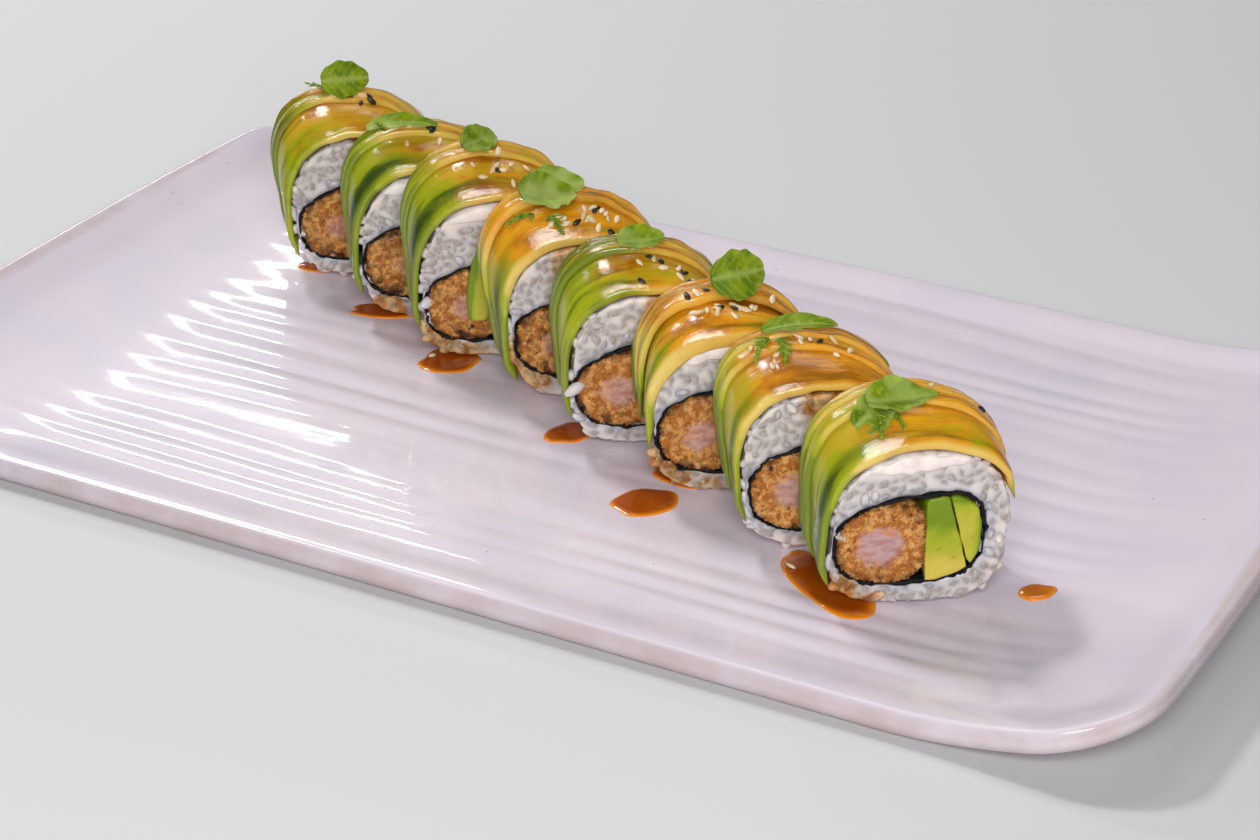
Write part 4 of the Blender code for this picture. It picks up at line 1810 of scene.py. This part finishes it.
    def slice_line(self, order: int, draw: Draw) -> tuple[Array, Array, Array]:
        """How one slice of the fan runs over the roll.

        Args:
            order: 0 for the slice at the cut face.
            draw: random numbers for this piece.

        Returns:
            Its angle round the section, its front edge and half its width, at each SHARE.
        """
        loose = order > 0
        begin = math.radians(self.cut.topping_left + draw.uniform(-12.0, 3.0) * loose)
        finish = math.radians(self.cut.topping_right + draw.uniform(-2.0, 16.0) * loose)
        body = np.sin(math.pi * (0.05 + 0.90 * SHARE)) ** 0.50
        starts = SLICE_STARTS * self.cut.thickness
        shown = starts[order + 1] - starts[order]
        half = (shown * 0.62 + 0.0018 + draw.uniform(0.0, 0.0006)) * (0.42 + 0.58 * body)
        sway = draw.uniform(-1.0, 1.0) * 0.0010 * np.sin(TURN * SHARE * 0.8 + draw.uniform(0.0, 6.0))
        lean = draw.uniform(-0.0016, 0.0010) * (SHARE - 0.5) * loose
        front = starts[order] - 0.0004 + 0.0012 * (1.0 - body) + (sway + lean) * loose
        return begin + (finish - begin) * SHARE, front, half

    def slice_thickness(self, order: int) -> Array:
        """How thick one slice of the fan is; it runs out at both tips.

        Args:
            order: 0 for the slice at the cut face.

        Returns:
            Its thickness at each SHARE.
        """
        thick = 0.0013 + 0.0013 * np.sin(math.pi * SHARE) ** 0.8
        if order == 0:
            thick = thick + self.cut.edge * np.sin(math.pi * np.clip(SHARE * 1.1, 0.0, 1.0))
        return thick * (0.30 + 0.70 * np.clip(np.sin(math.pi * SHARE) * 6.0, 0.0, 1.0))

    def slice_tints(
        self, order: int, depth: Array, wide: Array, up: Array, skin: float
    ) -> dict[str, Array]:
        """The fields that the glazed finish reads.

        Args:
            order: 0 for the slice at the cut face.
            depth: depth of each point into the piece.
            wide: place across the slice, -1 at its front edge and 1 at its back.
            up: place through the slice, 1 at its outside.
            skin: how green this slice is.

        Returns:
            The fields by name; each broadcasts to stations x points of a ring.
        """
        first = order == 0
        rim = ease(-0.90, -0.985, wide) * ease(1.02, 0.80, up)
        left = ease(self.cut.green_to, self.cut.green_to - 0.38, SHARE) + 0.45 * ease(0.84, 1.0, SHARE)
        edge = np.exp(-(((wide + 0.80) / 0.14) ** 2)) * ease(0.2, 0.7, up)
        green = (0.30 + 0.38 * skin) * left + 0.45 * edge * skin
        # Painted contact shadow just in front of where the next slice starts.
        seam = np.zeros_like(depth)
        if order < SLICES_OF_FAN - 1:
            next_start = SLICE_STARTS[order + 1] * self.cut.thickness
            seam = 0.80 * np.exp(-(((depth - next_start) / 0.0008) ** 2))
        pool = ease(self.cut.amber_from, self.cut.amber_from + 0.30, SHARE) * ease(1.06, 0.90, SHARE)
        return {
            "along": SHARE,
            "width": wide * 0.5 + 0.5,
            "leaf": np.array(self.number + 0.13 * order),
            "green": green + rim * left * (0.25 if first else 0.75),
            "rim": rim * (1.0 if first else 0.65),
            "seam": seam * ease(0.0, 0.5, up),
            "rind": edge * ease(0.35, 0.75, skin) * (0.45 + 0.55 * left),
            "glaze": self.cut.amber * pool,
        }

    def slice_shape(self, order: int, draw: Draw) -> Shape:
        """One long slice laid over the rice, its front edge on top of the slice before it.

        Args:
            order: 0 for the slice at the cut face.
            draw: random numbers for this piece.

        Returns:
            The slice in the model's frame.
        """
        across, up = superellipse(circle(30), 1.0, 1.0, 5.0)
        angle, front, half = self.slice_line(order, draw)
        depth = np.minimum(front + (across + 1.0) * half, self.cut.thickness + 0.0004)
        span = math.radians(self.cut.topping_right - self.cut.topping_left)
        over = (angle - math.radians(self.cut.topping_left)) / span
        thick = self.slice_thickness(order)
        tuck = 0.0 if order == SLICES_OF_FAN - 1 else 0.85
        outside = self.dome(over, depth / self.cut.thickness) - tuck * thick * (across + 1.0) / 2.0
        outline = self.section.rice(angle, outside - thick * (1.0 - up) / 2.0)
        shape = Shape.loft(across_piece(outline, depth), Ends.FAN)
        wide = np.broadcast_to(across, depth.shape)
        for name, value in self.slice_tints(order, depth, wide, up, draw.uniform(0.25, 1.0)).items():
            shape.ring_field(name, np.broadcast_to(value, depth.shape))
        ripples = 0.00022 * ripple(shape.points, 0.0090, 11 * self.number + order)
        shape.points[:, 2] += ripples
        shape.points[:, 1] += ripples
        shape.points = self.place(shape.points)
        return shape

    def topping(self) -> BVHTree:
        """Make the fan of slices.

        Returns:
            A tree that finds its surface.
        """
        draw = np.random.default_rng(500 + self.number)
        fan = Shape.gather([self.slice_shape(order, draw) for order in range(SLICES_OF_FAN)])
        made = fan.build(f"avocado_slices_{self.number}", SLICES)
        finder = BVHTree.FromPolygons([Vector(p) for p in fan.points], fan.faces)
        hand_over(made, "glazed_avocado", f"avocado_fan_{self.number}")
        return finder

    def build(self) -> BVHTree:
        """Make every part of the piece.

        Returns:
            The finder of its topping.
        """
        self.rice()
        self.nori()
        self.prawn()
        self.stick("a")
        self.stick("b")
        if self.cut.cream:
            self.cream()
        return self.topping()


@dataclass(frozen=True)
class Roll:
    """The row of eight pieces, each stepped forward and aside from the one behind."""

    face_heading: float = math.radians(34.0)
    row_heading: float = math.radians(35.5)
    first_face: tuple[float, float, float] = (-0.0906, 0.0308, 0.0045)

    def stands(self) -> list[Stand]:
        """Where the eight pieces stand.

        Returns:
            The stands, from the far piece to the near one.
        """
        across = np.array([math.cos(self.row_heading), math.sin(self.row_heading), 0.0])
        forward = np.array([math.sin(self.row_heading), -math.cos(self.row_heading), 0.0])
        face = np.array(self.first_face)
        found = []
        for cut in CUTS:
            face = face + forward * cut.forward + across * cut.aside
            heading = self.face_heading + math.radians(cut.turn)
            found.append(Stand(face + np.array([0.0, 0.0, cut.lift]), heading))
        return found

    def build(self, shapes: SmallShapes, scatter: StrewTree) -> list[tuple[Stand, BVHTree]]:
        """Make the pieces.

        Args:
            shapes: the shapes that are strewn.
            scatter: the tree that strews them.

        Returns:
            Each piece's stand and the finder of its topping.
        """
        made = []
        for number, (cut, stand) in enumerate(zip(CUTS, self.stands()), 1):
            made.append((stand, RollPiece(number, cut, stand, shapes, scatter).build()))
        return made


# ---------------------------------------------------------------- garnish


@dataclass(frozen=True)
class LeafCut:
    """A herb leaf.

    Attributes:
        name: its piece's name.
        piece: the piece of roll that it lies on.
        place: its middle in that piece's frame.
        half: half its length and half its width.
        tilt: degrees that it is turned about x, y and z.
        cup: how far its sides rise, curving.
        fold: how far its sides rise, straight from the midrib.
        curl: how far its ends rise.
        node: its CAD node, if it has one.
        pale: how much of it is pale.
        point: how far it narrows to a point.
    """

    name: str
    piece: int
    place: tuple[float, float, float]
    half: tuple[float, float]
    tilt: tuple[float, float, float]
    cup: float = 0.0
    fold: float = 0.0
    curl: float = 0.0
    node: str | None = None
    pale: float = 0.0
    point: float = 0.0

    def build(self, stand: Stand) -> Object:
        """Make a thin veined blade, closed all round.

        Args:
            stand: where its piece stands.

        Returns:
            The finished piece.
        """
        around, along = 36, 30
        loop = circle(around)
        wide, thick = superellipse(loop, 1.0, 1.0, 2.6)
        share = np.linspace(0.0, 1.0, along)[:, None]
        body = np.sin(math.pi * (0.03 + 0.94 * share) ** 0.85) ** 0.62
        body = body * (1.0 - self.point * ease(0.35, 1.0, share))
        lobes = 1.0 + 0.05 * np.sin(share * 21.0) + 0.07 * self.point * np.sin(share * 47.0)
        x = (share * 2.0 - 1.0) * self.half[0]
        y = wide * self.half[1] * body * lobes
        side = np.broadcast_to(np.abs(wide), y.shape)
        z = self.cup * (side**2) * body + self.fold * side * body
        z = z + self.curl * (share * 2.0 - 1.0) ** 2
        vein = np.exp(-((side / 0.055) ** 2))
        ribs = np.abs(np.mod(share * 6.0 - side * 1.6, 1.0) - 0.5)
        vein = np.maximum(vein, 0.75 * np.exp(-((ribs / 0.085) ** 2)) * ease(0.02, 0.2, side))
        ripple_in = 0.00018 * np.sin(share * 17.0 + side * 5.0) * side
        z = z + ripple_in + 0.00010 * vein + thick * 0.00016 * (0.4 + body)
        local = np.stack([np.broadcast_to(x, y.shape), y, z], axis=-1)
        shape = Shape.loft(local, Ends.FAN)
        shape.ring_field("vein", vein * 0.60)
        patches = ripple(shape.points, 0.0060, self.piece)
        shape.fields["pale"] = self.pale * ease(-1.2, 0.4, patches)
        turn = np.array(Euler([math.radians(a) for a in self.tilt]).to_matrix())
        shape.points = stand.place(shape.points @ turn.T + np.array(self.place))
        made = shape.build(self.name, LEAF)
        nodes = [self.node] if self.node else []
        return hand_over(made, "leaf", *nodes)


@dataclass(frozen=True)
class Sprig:
    """A sprig of dill: where its stem starts, the way it runs and how it droops."""

    piece: int
    place: tuple[float, float]
    way: tuple[float, float, float]
    length: float
    droop: float
    seed: int


@dataclass(frozen=True)
class SeedPatch:
    """Sesame strewn on a piece: the patch's middle and spread in x and y, and the counts."""

    piece: int
    place: tuple[float, float]
    spread: tuple[float, float]
    white: int
    black: int


LEAVES = (
    LeafCut("round_leaf_1", 1, (-0.0043, 0.0084, 0.0506), (0.0061, 0.0047), (66, 0, 8),
            0.0008, 0.0, -0.0006, "leaf_1"),
    LeafCut("broad_leaf_4", 4, (-0.0095, 0.0027, 0.0508), (0.0079, 0.0057), (30, 10, 30),
            0.0016, 0.0014, 0.0008, "leaf_4", 0.95, 0.25),
    LeafCut("round_leaf_6", 6, (-0.0002, 0.0061, 0.0508), (0.0066, 0.0056), (66, 0, 20),
            0.0010, 0.0010, -0.0004, "leaf_6", 0.10),
    LeafCut("folded_leaf_8", 8, (-0.0062, 0.0055, 0.0457), (0.0085, 0.0043), (34, 4, 16),
            0.0010, 0.0022, 0.0006, "leaf_8", 0.55, 0.55),
)
LYING_LEAVES = (
    LeafCut("leaf_strip_2", 2, (-0.0075, 0.0092, 0.0), (0.0088, 0.0030), (14, 0, 2),
            0.0, 0.0014, -0.0012, pale=0.60),
    LeafCut("small_leaf_3", 3, (-0.0052, 0.0100, 0.0), (0.0054, 0.0040), (35, 0, 40),
            0.0006, 0.0012, 0.0, pale=0.30),
    LeafCut("curled_leaf_5", 5, (-0.0026, 0.0090, 0.0), (0.0056, 0.0034), (30, 0, 10),
            0.0022, 0.0, 0.0006, pale=0.55),
    LeafCut("broad_leaf_4_back", 4, (-0.0070, 0.0085, 0.0), (0.0070, 0.0046), (50, 0, 6),
            0.0008, 0.0012, 0.0, pale=0.90, point=0.2),
    LeafCut("folded_leaf_8_left", 8, (-0.0106, 0.0066, 0.0), (0.0062, 0.0042), (62, -38, 10),
            0.0012, 0.0020, 0.0006, pale=0.55, point=0.5),
    LeafCut("leaf_strip_7", 7, (-0.0040, 0.0150, 0.0), (0.0085, 0.0026), (18, 0, 6),
            0.0, 0.0014, -0.0010, pale=0.20),
)
SPRIGS = (
    Sprig(1, (-0.0080, 0.0122), (-0.9, -0.1, 0.55), 0.0070, 0.2, 1),
    Sprig(2, (-0.0117, 0.0092), (-0.2, -0.5, 0.80), 0.0060, 0.6, 2),
    Sprig(4, (-0.0120, 0.0040), (-0.8, -0.5, 0.30), 0.0100, 0.9, 3),
    Sprig(4, (-0.0090, 0.0030), (0.4, -0.8, 0.20), 0.0080, 0.9, 4),
    Sprig(7, (-0.0110, 0.0120), (-0.4, -0.7, 0.35), 0.0090, 1.1, 5),
    Sprig(7, (-0.0090, 0.0110), (0.1, -0.9, 0.25), 0.0080, 1.1, 6),
    Sprig(8, (-0.0105, 0.0080), (-0.1, -0.9, 0.10), 0.0100, 1.1, 7),
    Sprig(8, (-0.0080, 0.0080), (0.3, -0.9, 0.15), 0.0080, 1.1, 8),
)
SEEDS = (
    SeedPatch(1, (0.0002, 0.0090), (0.0030, 0.0010), 0, 4),
    SeedPatch(2, (0.0000, 0.0070), (0.0050, 0.0025), 3, 3),
    SeedPatch(3, (-0.0010, 0.0055), (0.0070, 0.0030), 11, 1),
    SeedPatch(4, (0.0010, 0.0028), (0.0065, 0.0022), 14, 5),
    SeedPatch(5, (0.0010, 0.0050), (0.0080, 0.0035), 7, 6),
    SeedPatch(6, (-0.0020, 0.0062), (0.0075, 0.0030), 17, 5),
    SeedPatch(7, (-0.0010, 0.0090), (0.0090, 0.0028), 9, 1),
    SeedPatch(8, (0.0040, 0.0130), (0.0060, 0.0030), 1, 1),
)
LOOSE_SEEDS = ((-0.0524, -0.0018), (0.0671, -0.0536))


@dataclass(frozen=True)
class Garnish:
    """Leaves, dill and sesame on the topping, and the slice that has slipped."""

    pieces: list[tuple[Stand, BVHTree]]
    shapes: SmallShapes
    points: StrewTree
    plate: Plate

    def landing(self, piece: int, x: float, y: float) -> tuple[Array, Array]:
        """Where something dropped on a piece comes to rest, and the way up there.

        Args:
            piece: the piece's number.
            x: place across its front face.
            y: place back through it.

        Returns:
            The place on the topping and the way out of it; at z = 0 where the topping is missed.
        """
        stand, finder = self.pieces[piece - 1]
        above = stand.place(np.array([x, y, 0.2]))
        hit, normal, _, _ = finder.ray_cast(Vector(above), Vector((0.0, 0.0, -1.0)))
        if hit is None:
            return above * np.array([1.0, 1.0, 0.0]), UP
        return np.array(hit), np.array(normal)

    def copies(self, name: str, shape: Object, look: Finish, rows: list[Copy]) -> Object:
        """One mesh of copies of a small shape.

        Args:
            name: the piece's name.
            shape: what is copied.
            look: its finish.
            rows: place, facing, turn and size of each copy.

        Returns:
            The mesh, not yet handed over.
        """
        mesh = bpy.data.meshes.new(name + "_points")
        mesh.from_pydata([list(row[0]) for row in rows], [], [])
        kinds = (("facing", "FLOAT_VECTOR"), ("turn", "FLOAT"), ("size", "FLOAT_VECTOR"))
        for column, (key, kind) in enumerate(kinds, 1):
            store = mesh.attributes.new(key, kind, "POINT")
            values = np.array([row[column] for row in rows], np.float32).reshape(-1)
            store.data.foreach_set("value" if kind == "FLOAT" else "vector", values)
        carrier = link(name + "_points", mesh)
        values = {"Shape": shape, "Finish": look.material(), "Seed": len(rows)}
        return self.points.make(name, carrier, values)

    def seed_rows(self, draw: Draw, black: bool) -> list[Copy]:
        """Sesame seeds of one colour, each lying on the topping below it.

        Args:
            draw: random numbers.
            black: whether they are the black ones.

        Returns:
            A row for each seed.
        """
        rows = []
        gather = 0.7
        for patch in SEEDS:
            for _ in range(patch.black if black else patch.white):
                x = patch.place[0] + draw.normal() * patch.spread[0] * gather
                y = patch.place[1] + draw.normal() * patch.spread[1] * gather
                hit, normal = self.landing(patch.piece, x, y)
                if hit[2] > self.plate.rim_height:
                    rows.append(self.seed_row(hit, normal, draw))
        return rows

    @staticmethod
    def seed_row(hit: Array, normal: Array, draw: Draw) -> Copy:
        """One seed lying on a surface, a little askew.

        Args:
            hit: the place.
            normal: the way out of the surface.
            draw: random numbers.

        Returns:
            Its place, facing, turn and size.
        """
        askew, above_surface = 0.16, 0.00035
        lean = normal + draw.normal(size=3) * askew
        size = np.array([0.0028, 0.0017, 0.0010]) * draw.uniform(0.85, 1.12)
        return hit + normal * above_surface, lean, draw.uniform(0.0, TURN), size

    def seeds(self) -> None:
        """White and black sesame."""
        draw = np.random.default_rng(77)
        above_plate = 0.0006
        shape = self.shapes.pip("seed", 9, 7, 0.05, 0.45)
        white = self.seed_rows(draw, False)
        for x, y in LOOSE_SEEDS:
            level = float(self.plate.top(np.array([x]), np.array([y]))[0])
            white.append(self.seed_row(np.array([x, y, level + above_plate]), UP, draw))
        hand_over(self.copies("white_sesame", shape, WHITE_SEED, white), None)
        hand_over(self.copies("black_sesame", shape, BLACK_SEED, self.seed_rows(draw, True)), None)

    def dill(self) -> None:
        """Sprigs of dill: a drooping stem with fine needles on both sides."""
        rows: list[Copy] = []
        steps, stem_thick, needle_thick, above_topping = 12, 0.00042, 0.00034, 0.0006
        for sprig in SPRIGS:
            stand, _ = self.pieces[sprig.piece - 1]
            draw = np.random.default_rng(sprig.seed)
            start, normal = self.landing(sprig.piece, *sprig.place)
            point = start + normal * above_topping
            way = stand.turn(np.array(sprig.way))
            way /= np.linalg.norm(way)
            step = sprig.length / steps
            for k in range(steps):
                way = way + np.array([0.0, 0.0, -sprig.droop / steps]) + draw.normal(size=3) * 0.05
                way /= np.linalg.norm(way)
                rows.append((point, way, 0.0, np.array([stem_thick, stem_thick, step * 1.25])))
                side = np.cross(way, UP)
                side /= np.linalg.norm(side) + 1e-9
                for sign in (-1.0, -1.0, 1.0, 1.0):
                    needle = way * draw.uniform(0.5, 1.1) + sign * side * draw.uniform(0.3, 1.0)
                    needle = needle + draw.normal(size=3) * 0.28
                    long = draw.uniform(0.0012, 0.0034) * (1.15 - k / steps)
                    rows.append((point, needle, 0.0, np.array([needle_thick, needle_thick, long])))
                point = point + way * step
        hand_over(self.copies("dill", self.shapes.needle(), DILL, rows), "leaf")

    def leaves(self) -> None:
        """The standing leaves, then those that lie on the topping."""
        above_topping = 0.0014
        for leaf in LEAVES:
            leaf.build(self.pieces[leaf.piece - 1][0])
        for leaf in LYING_LEAVES:
            stand, _ = self.pieces[leaf.piece - 1]
            x, y, _ = leaf.place
            hit, _ = self.landing(leaf.piece, x, y)
            place = (x, y, float(stand.local(hit)[2]) + above_topping)
            replace(leaf, place=place).build(stand)

    def slipped_slice(self, piece: RollPiece) -> None:
        """The slice on edge against the third cut face, green along its left side.

        Args:
            piece: the piece that it lies against.
        """
        shape, local = piece.block("slipped_slice", 0.0006, 90, 8)
        up = box_shares(local)[:, 2]
        half_width = 0.0036
        centre = local[:, 0].min() + half_width + 0.0080 * up**2
        left = (centre - local[:, 0]) / half_width
        shape.fields = {"skin": 0.30 + 0.65 * ease(0.45, 0.85, left)}
        clear_of_topping = np.array([-0.0022, -0.0004, 0.0])
        shape.points = shape.points + piece.stand.turn(clear_of_topping)
        relief = 0.00012 * ripple(local, 0.0050, 3)
        made = shape.build("slipped_avocado_slice", FLESH, relief)
        hand_over(made, "avocado", "slipped_slice")


@dataclass(frozen=True)
class Puddle:
    """Sauce on the plate.

    Attributes:
        x: its middle along the plate.
        y: its middle across the plate.
        half: half its length and half its width.
        heading: degrees from the plate's length to its own.
        point: how far one end is drawn out.
        uneven: how far its edge wanders.
        seed: fixes that wandering.
        deep: depth of colour in its middle.
    """

    x: float
    y: float
    half: tuple[float, float]
    heading: float
    point: float = 0.0
    uneven: float = 0.10
    seed: int = 1
    deep: float = 1.0

    def shape(self, plate: Plate) -> Shape:
        """A low dome with a wandering edge, resting on the ridges.

        Args:
            plate: what it rests on.

        Returns:
            The shape.
        """
        around = 72
        angle = circle(around)
        outline = np.column_stack([spokes(angle), np.zeros(around)])
        drawn_out = self.point * np.clip(np.cos(angle), 0.0, 1.0) ** 9
        edge = 1.0 + self.uneven * ripple(outline, 1.6, self.seed) + drawn_out
        turn = math.radians(self.heading)
        rings = []
        tints = []
        profile = [(0.98, -0.00025), (1.0, 0.00002)]
        for share in (0.985, 0.96, 0.92, 0.84, 0.7, 0.5, 0.25, 0.05):
            profile.append((share, 0.00062 * (1.0 - share**5) ** 0.6))
        for share, rise in profile:
            u = edge * np.cos(angle) * self.half[0] * share
            v = edge * np.sin(angle) * self.half[1] * share
            x = self.x + u * math.cos(turn) - v * math.sin(turn)
            y = self.y + u * math.sin(turn) + v * math.cos(turn)
            rings.append(np.stack([x, y, plate.top(x, y) + rise], axis=1))
            tints.append(np.full(around, self.deep * (1.0 - share**6)))
        shape = Shape.loft(np.array(rings), Ends.FAN)
        return shape.ring_field("thick", np.array(tints))


PUDDLES = (
    Puddle(-0.0482, -0.0008, (0.0076, 0.0066), 60.0, 0.0, 0.12, 3),
    Puddle(-0.0046, -0.0208, (0.0060, 0.0046), 70.0, 0.0, 0.14, 4),
    Puddle(0.0262, -0.0420, (0.0076, 0.0064), 52.0, 0.16, 0.10, 5),
    Puddle(0.0762, -0.0560, (0.0160, 0.0072), -38.0, 0.0, 0.16, 6),
    Puddle(0.1172, -0.0380, (0.0038, 0.0036), 40.0, 0.30, 0.04, 7, 0.45),
    Puddle(-0.0770, 0.0150, (0.0085, 0.0040), 24.0, 0.0, 0.14, 8),
    Puddle(-0.1060, 0.0300, (0.0050, 0.0030), 10.0, 0.0, 0.12, 9),
    Puddle(0.0290, -0.0272, (0.0085, 0.0040), 0.0, 0.0, 0.14, 10),
)


def spill_sauce(plate: Plate) -> None:
    """All the sauce on the plate, as one piece."""
    pools = Shape.gather([puddle.shape(plate) for puddle in PUDDLES])
    hand_over(pools.build("sauce_puddles", SAUCE), "glazed_avocado")


# ---------------------------------------------------------------- studio


@dataclass(frozen=True)
class Softbox:
    """A rectangular soft light: where it hangs, the point it faces, its size and its watts."""

    name: str
    place: tuple[float, float, float]
    aim: tuple[float, float, float]
    size: tuple[float, float]
    power: float

    def build(self) -> None:
        """Hang the light."""
        data = bpy.data.lights.new(self.name, "AREA")
        data.shape = "RECTANGLE"
        data.size, data.size_y = self.size
        data.energy = self.power
        made = link(self.name, data)
        made.location = self.place
        way = Vector(self.aim) - Vector(self.place)
        made.rotation_euler = way.to_track_quat("-Z", "Y").to_euler()


LIGHTS = (
    Softbox("key", (-0.96, 0.50, 1.31), (0.0, 0.0, 0.02), (0.25, 0.19), 11.8),
    Softbox("side", (-1.38, 0.52, 0.80), (0.0, 0.0, 0.03), (0.16, 0.12), 3.8),
    Softbox("window", (-1.10, 1.08, 0.78), (-0.12, 0.0, 0.0), (0.86, 0.07), 5.2),
    Softbox("skylight", (-0.25, 0.85, 1.35), (0.0, 0.0, 0.0), (0.60, 0.30), 2.6),
    Softbox("fill", (0.38, -0.80, 0.53), (0.03, -0.03, 0.02), (0.44, 0.36), 7.8),
)


@dataclass(frozen=True)
class Studio:
    """Pale floor, soft lights and the camera."""

    target: tuple[float, float, float] = (0.0012, -0.0003, 0.0)
    heading: float = math.radians(26.52)
    elevation: float = math.radians(27.0)
    roll: float = math.radians(1.31)
    distance: float = 0.7247
    lens: float = 86.94
    sensor: float = 36.0

    def camera(self) -> None:
        """The camera, looking down on the plate from its near right."""
        level = math.cos(self.elevation)
        x, y = -math.sin(self.heading) * level, math.cos(self.heading) * level
        ahead = Vector((x, y, -math.sin(self.elevation)))
        data = bpy.data.cameras.new("camera")
        data.lens = self.lens
        data.sensor_width = self.sensor
        data.clip_start = 0.01
        data.clip_end = 20.0
        made = link("camera", data)
        made.location = Vector(self.target) - ahead * self.distance
        turn = ahead.to_track_quat("-Z", "Y").to_matrix()
        made.rotation_euler = (turn @ Euler((0.0, 0.0, self.roll)).to_matrix()).to_euler()
        bpy.context.scene.camera = made

    def floor(self) -> None:
        """A plain pale floor, just below the plate."""
        half = 3.0
        level = -0.0002
        ways = ((-1.0, -1.0), (1.0, -1.0), (1.0, 1.0), (-1.0, 1.0))
        corners = [(x * half, y * half, level) for x, y in ways]
        mesh = bpy.data.meshes.new("floor")
        mesh.from_pydata(corners, [], [[0, 1, 2, 3]])
        look = bpy.data.materials.new("pale_floor")
        look.use_nodes = True
        shader = look.node_tree.nodes["Principled BSDF"]
        shader.inputs["Base Color"].default_value = (0.62, 0.62, 0.63, 1.0)
        shader.inputs["Roughness"].default_value = 0.7
        mesh.materials.append(look)
        link("floor", mesh)

    def build(self) -> None:
        """Camera, floor, lights and the light of the room."""
        self.camera()
        self.floor()
        for light in LIGHTS:
            light.build()
        world = bpy.data.worlds.new("room")
        world.use_nodes = True
        back = world.node_tree.nodes["Background"]
        back.inputs["Color"].default_value = (0.94, 0.92, 0.94, 1.0)
        back.inputs["Strength"].default_value = 0.11
        bpy.context.scene.world = world
        bpy.context.scene.view_settings.view_transform = "Standard"


def main() -> None:
    """Build the plate, the roll, its garnish, the sauce and the studio."""
    logging.basicConfig(level=logging.INFO, format="%(message)s")
    shapes = SmallShapes()
    surface = StrewTree(Strew.OVER_SURFACE)
    points = StrewTree(Strew.ON_POINTS)
    plate = Plate.from_frame()
    plate.build()
    pieces = Roll().build(shapes, surface)
    garnish = Garnish(pieces, shapes, points, plate)
    garnish.leaves()
    garnish.slipped_slice(RollPiece(3, CUTS[2], pieces[2][0], shapes, surface))
    garnish.seeds()
    garnish.dill()
    spill_sauce(plate)
    shapes.clear()
    Studio().build()


if __name__ == "__main__":
    main()
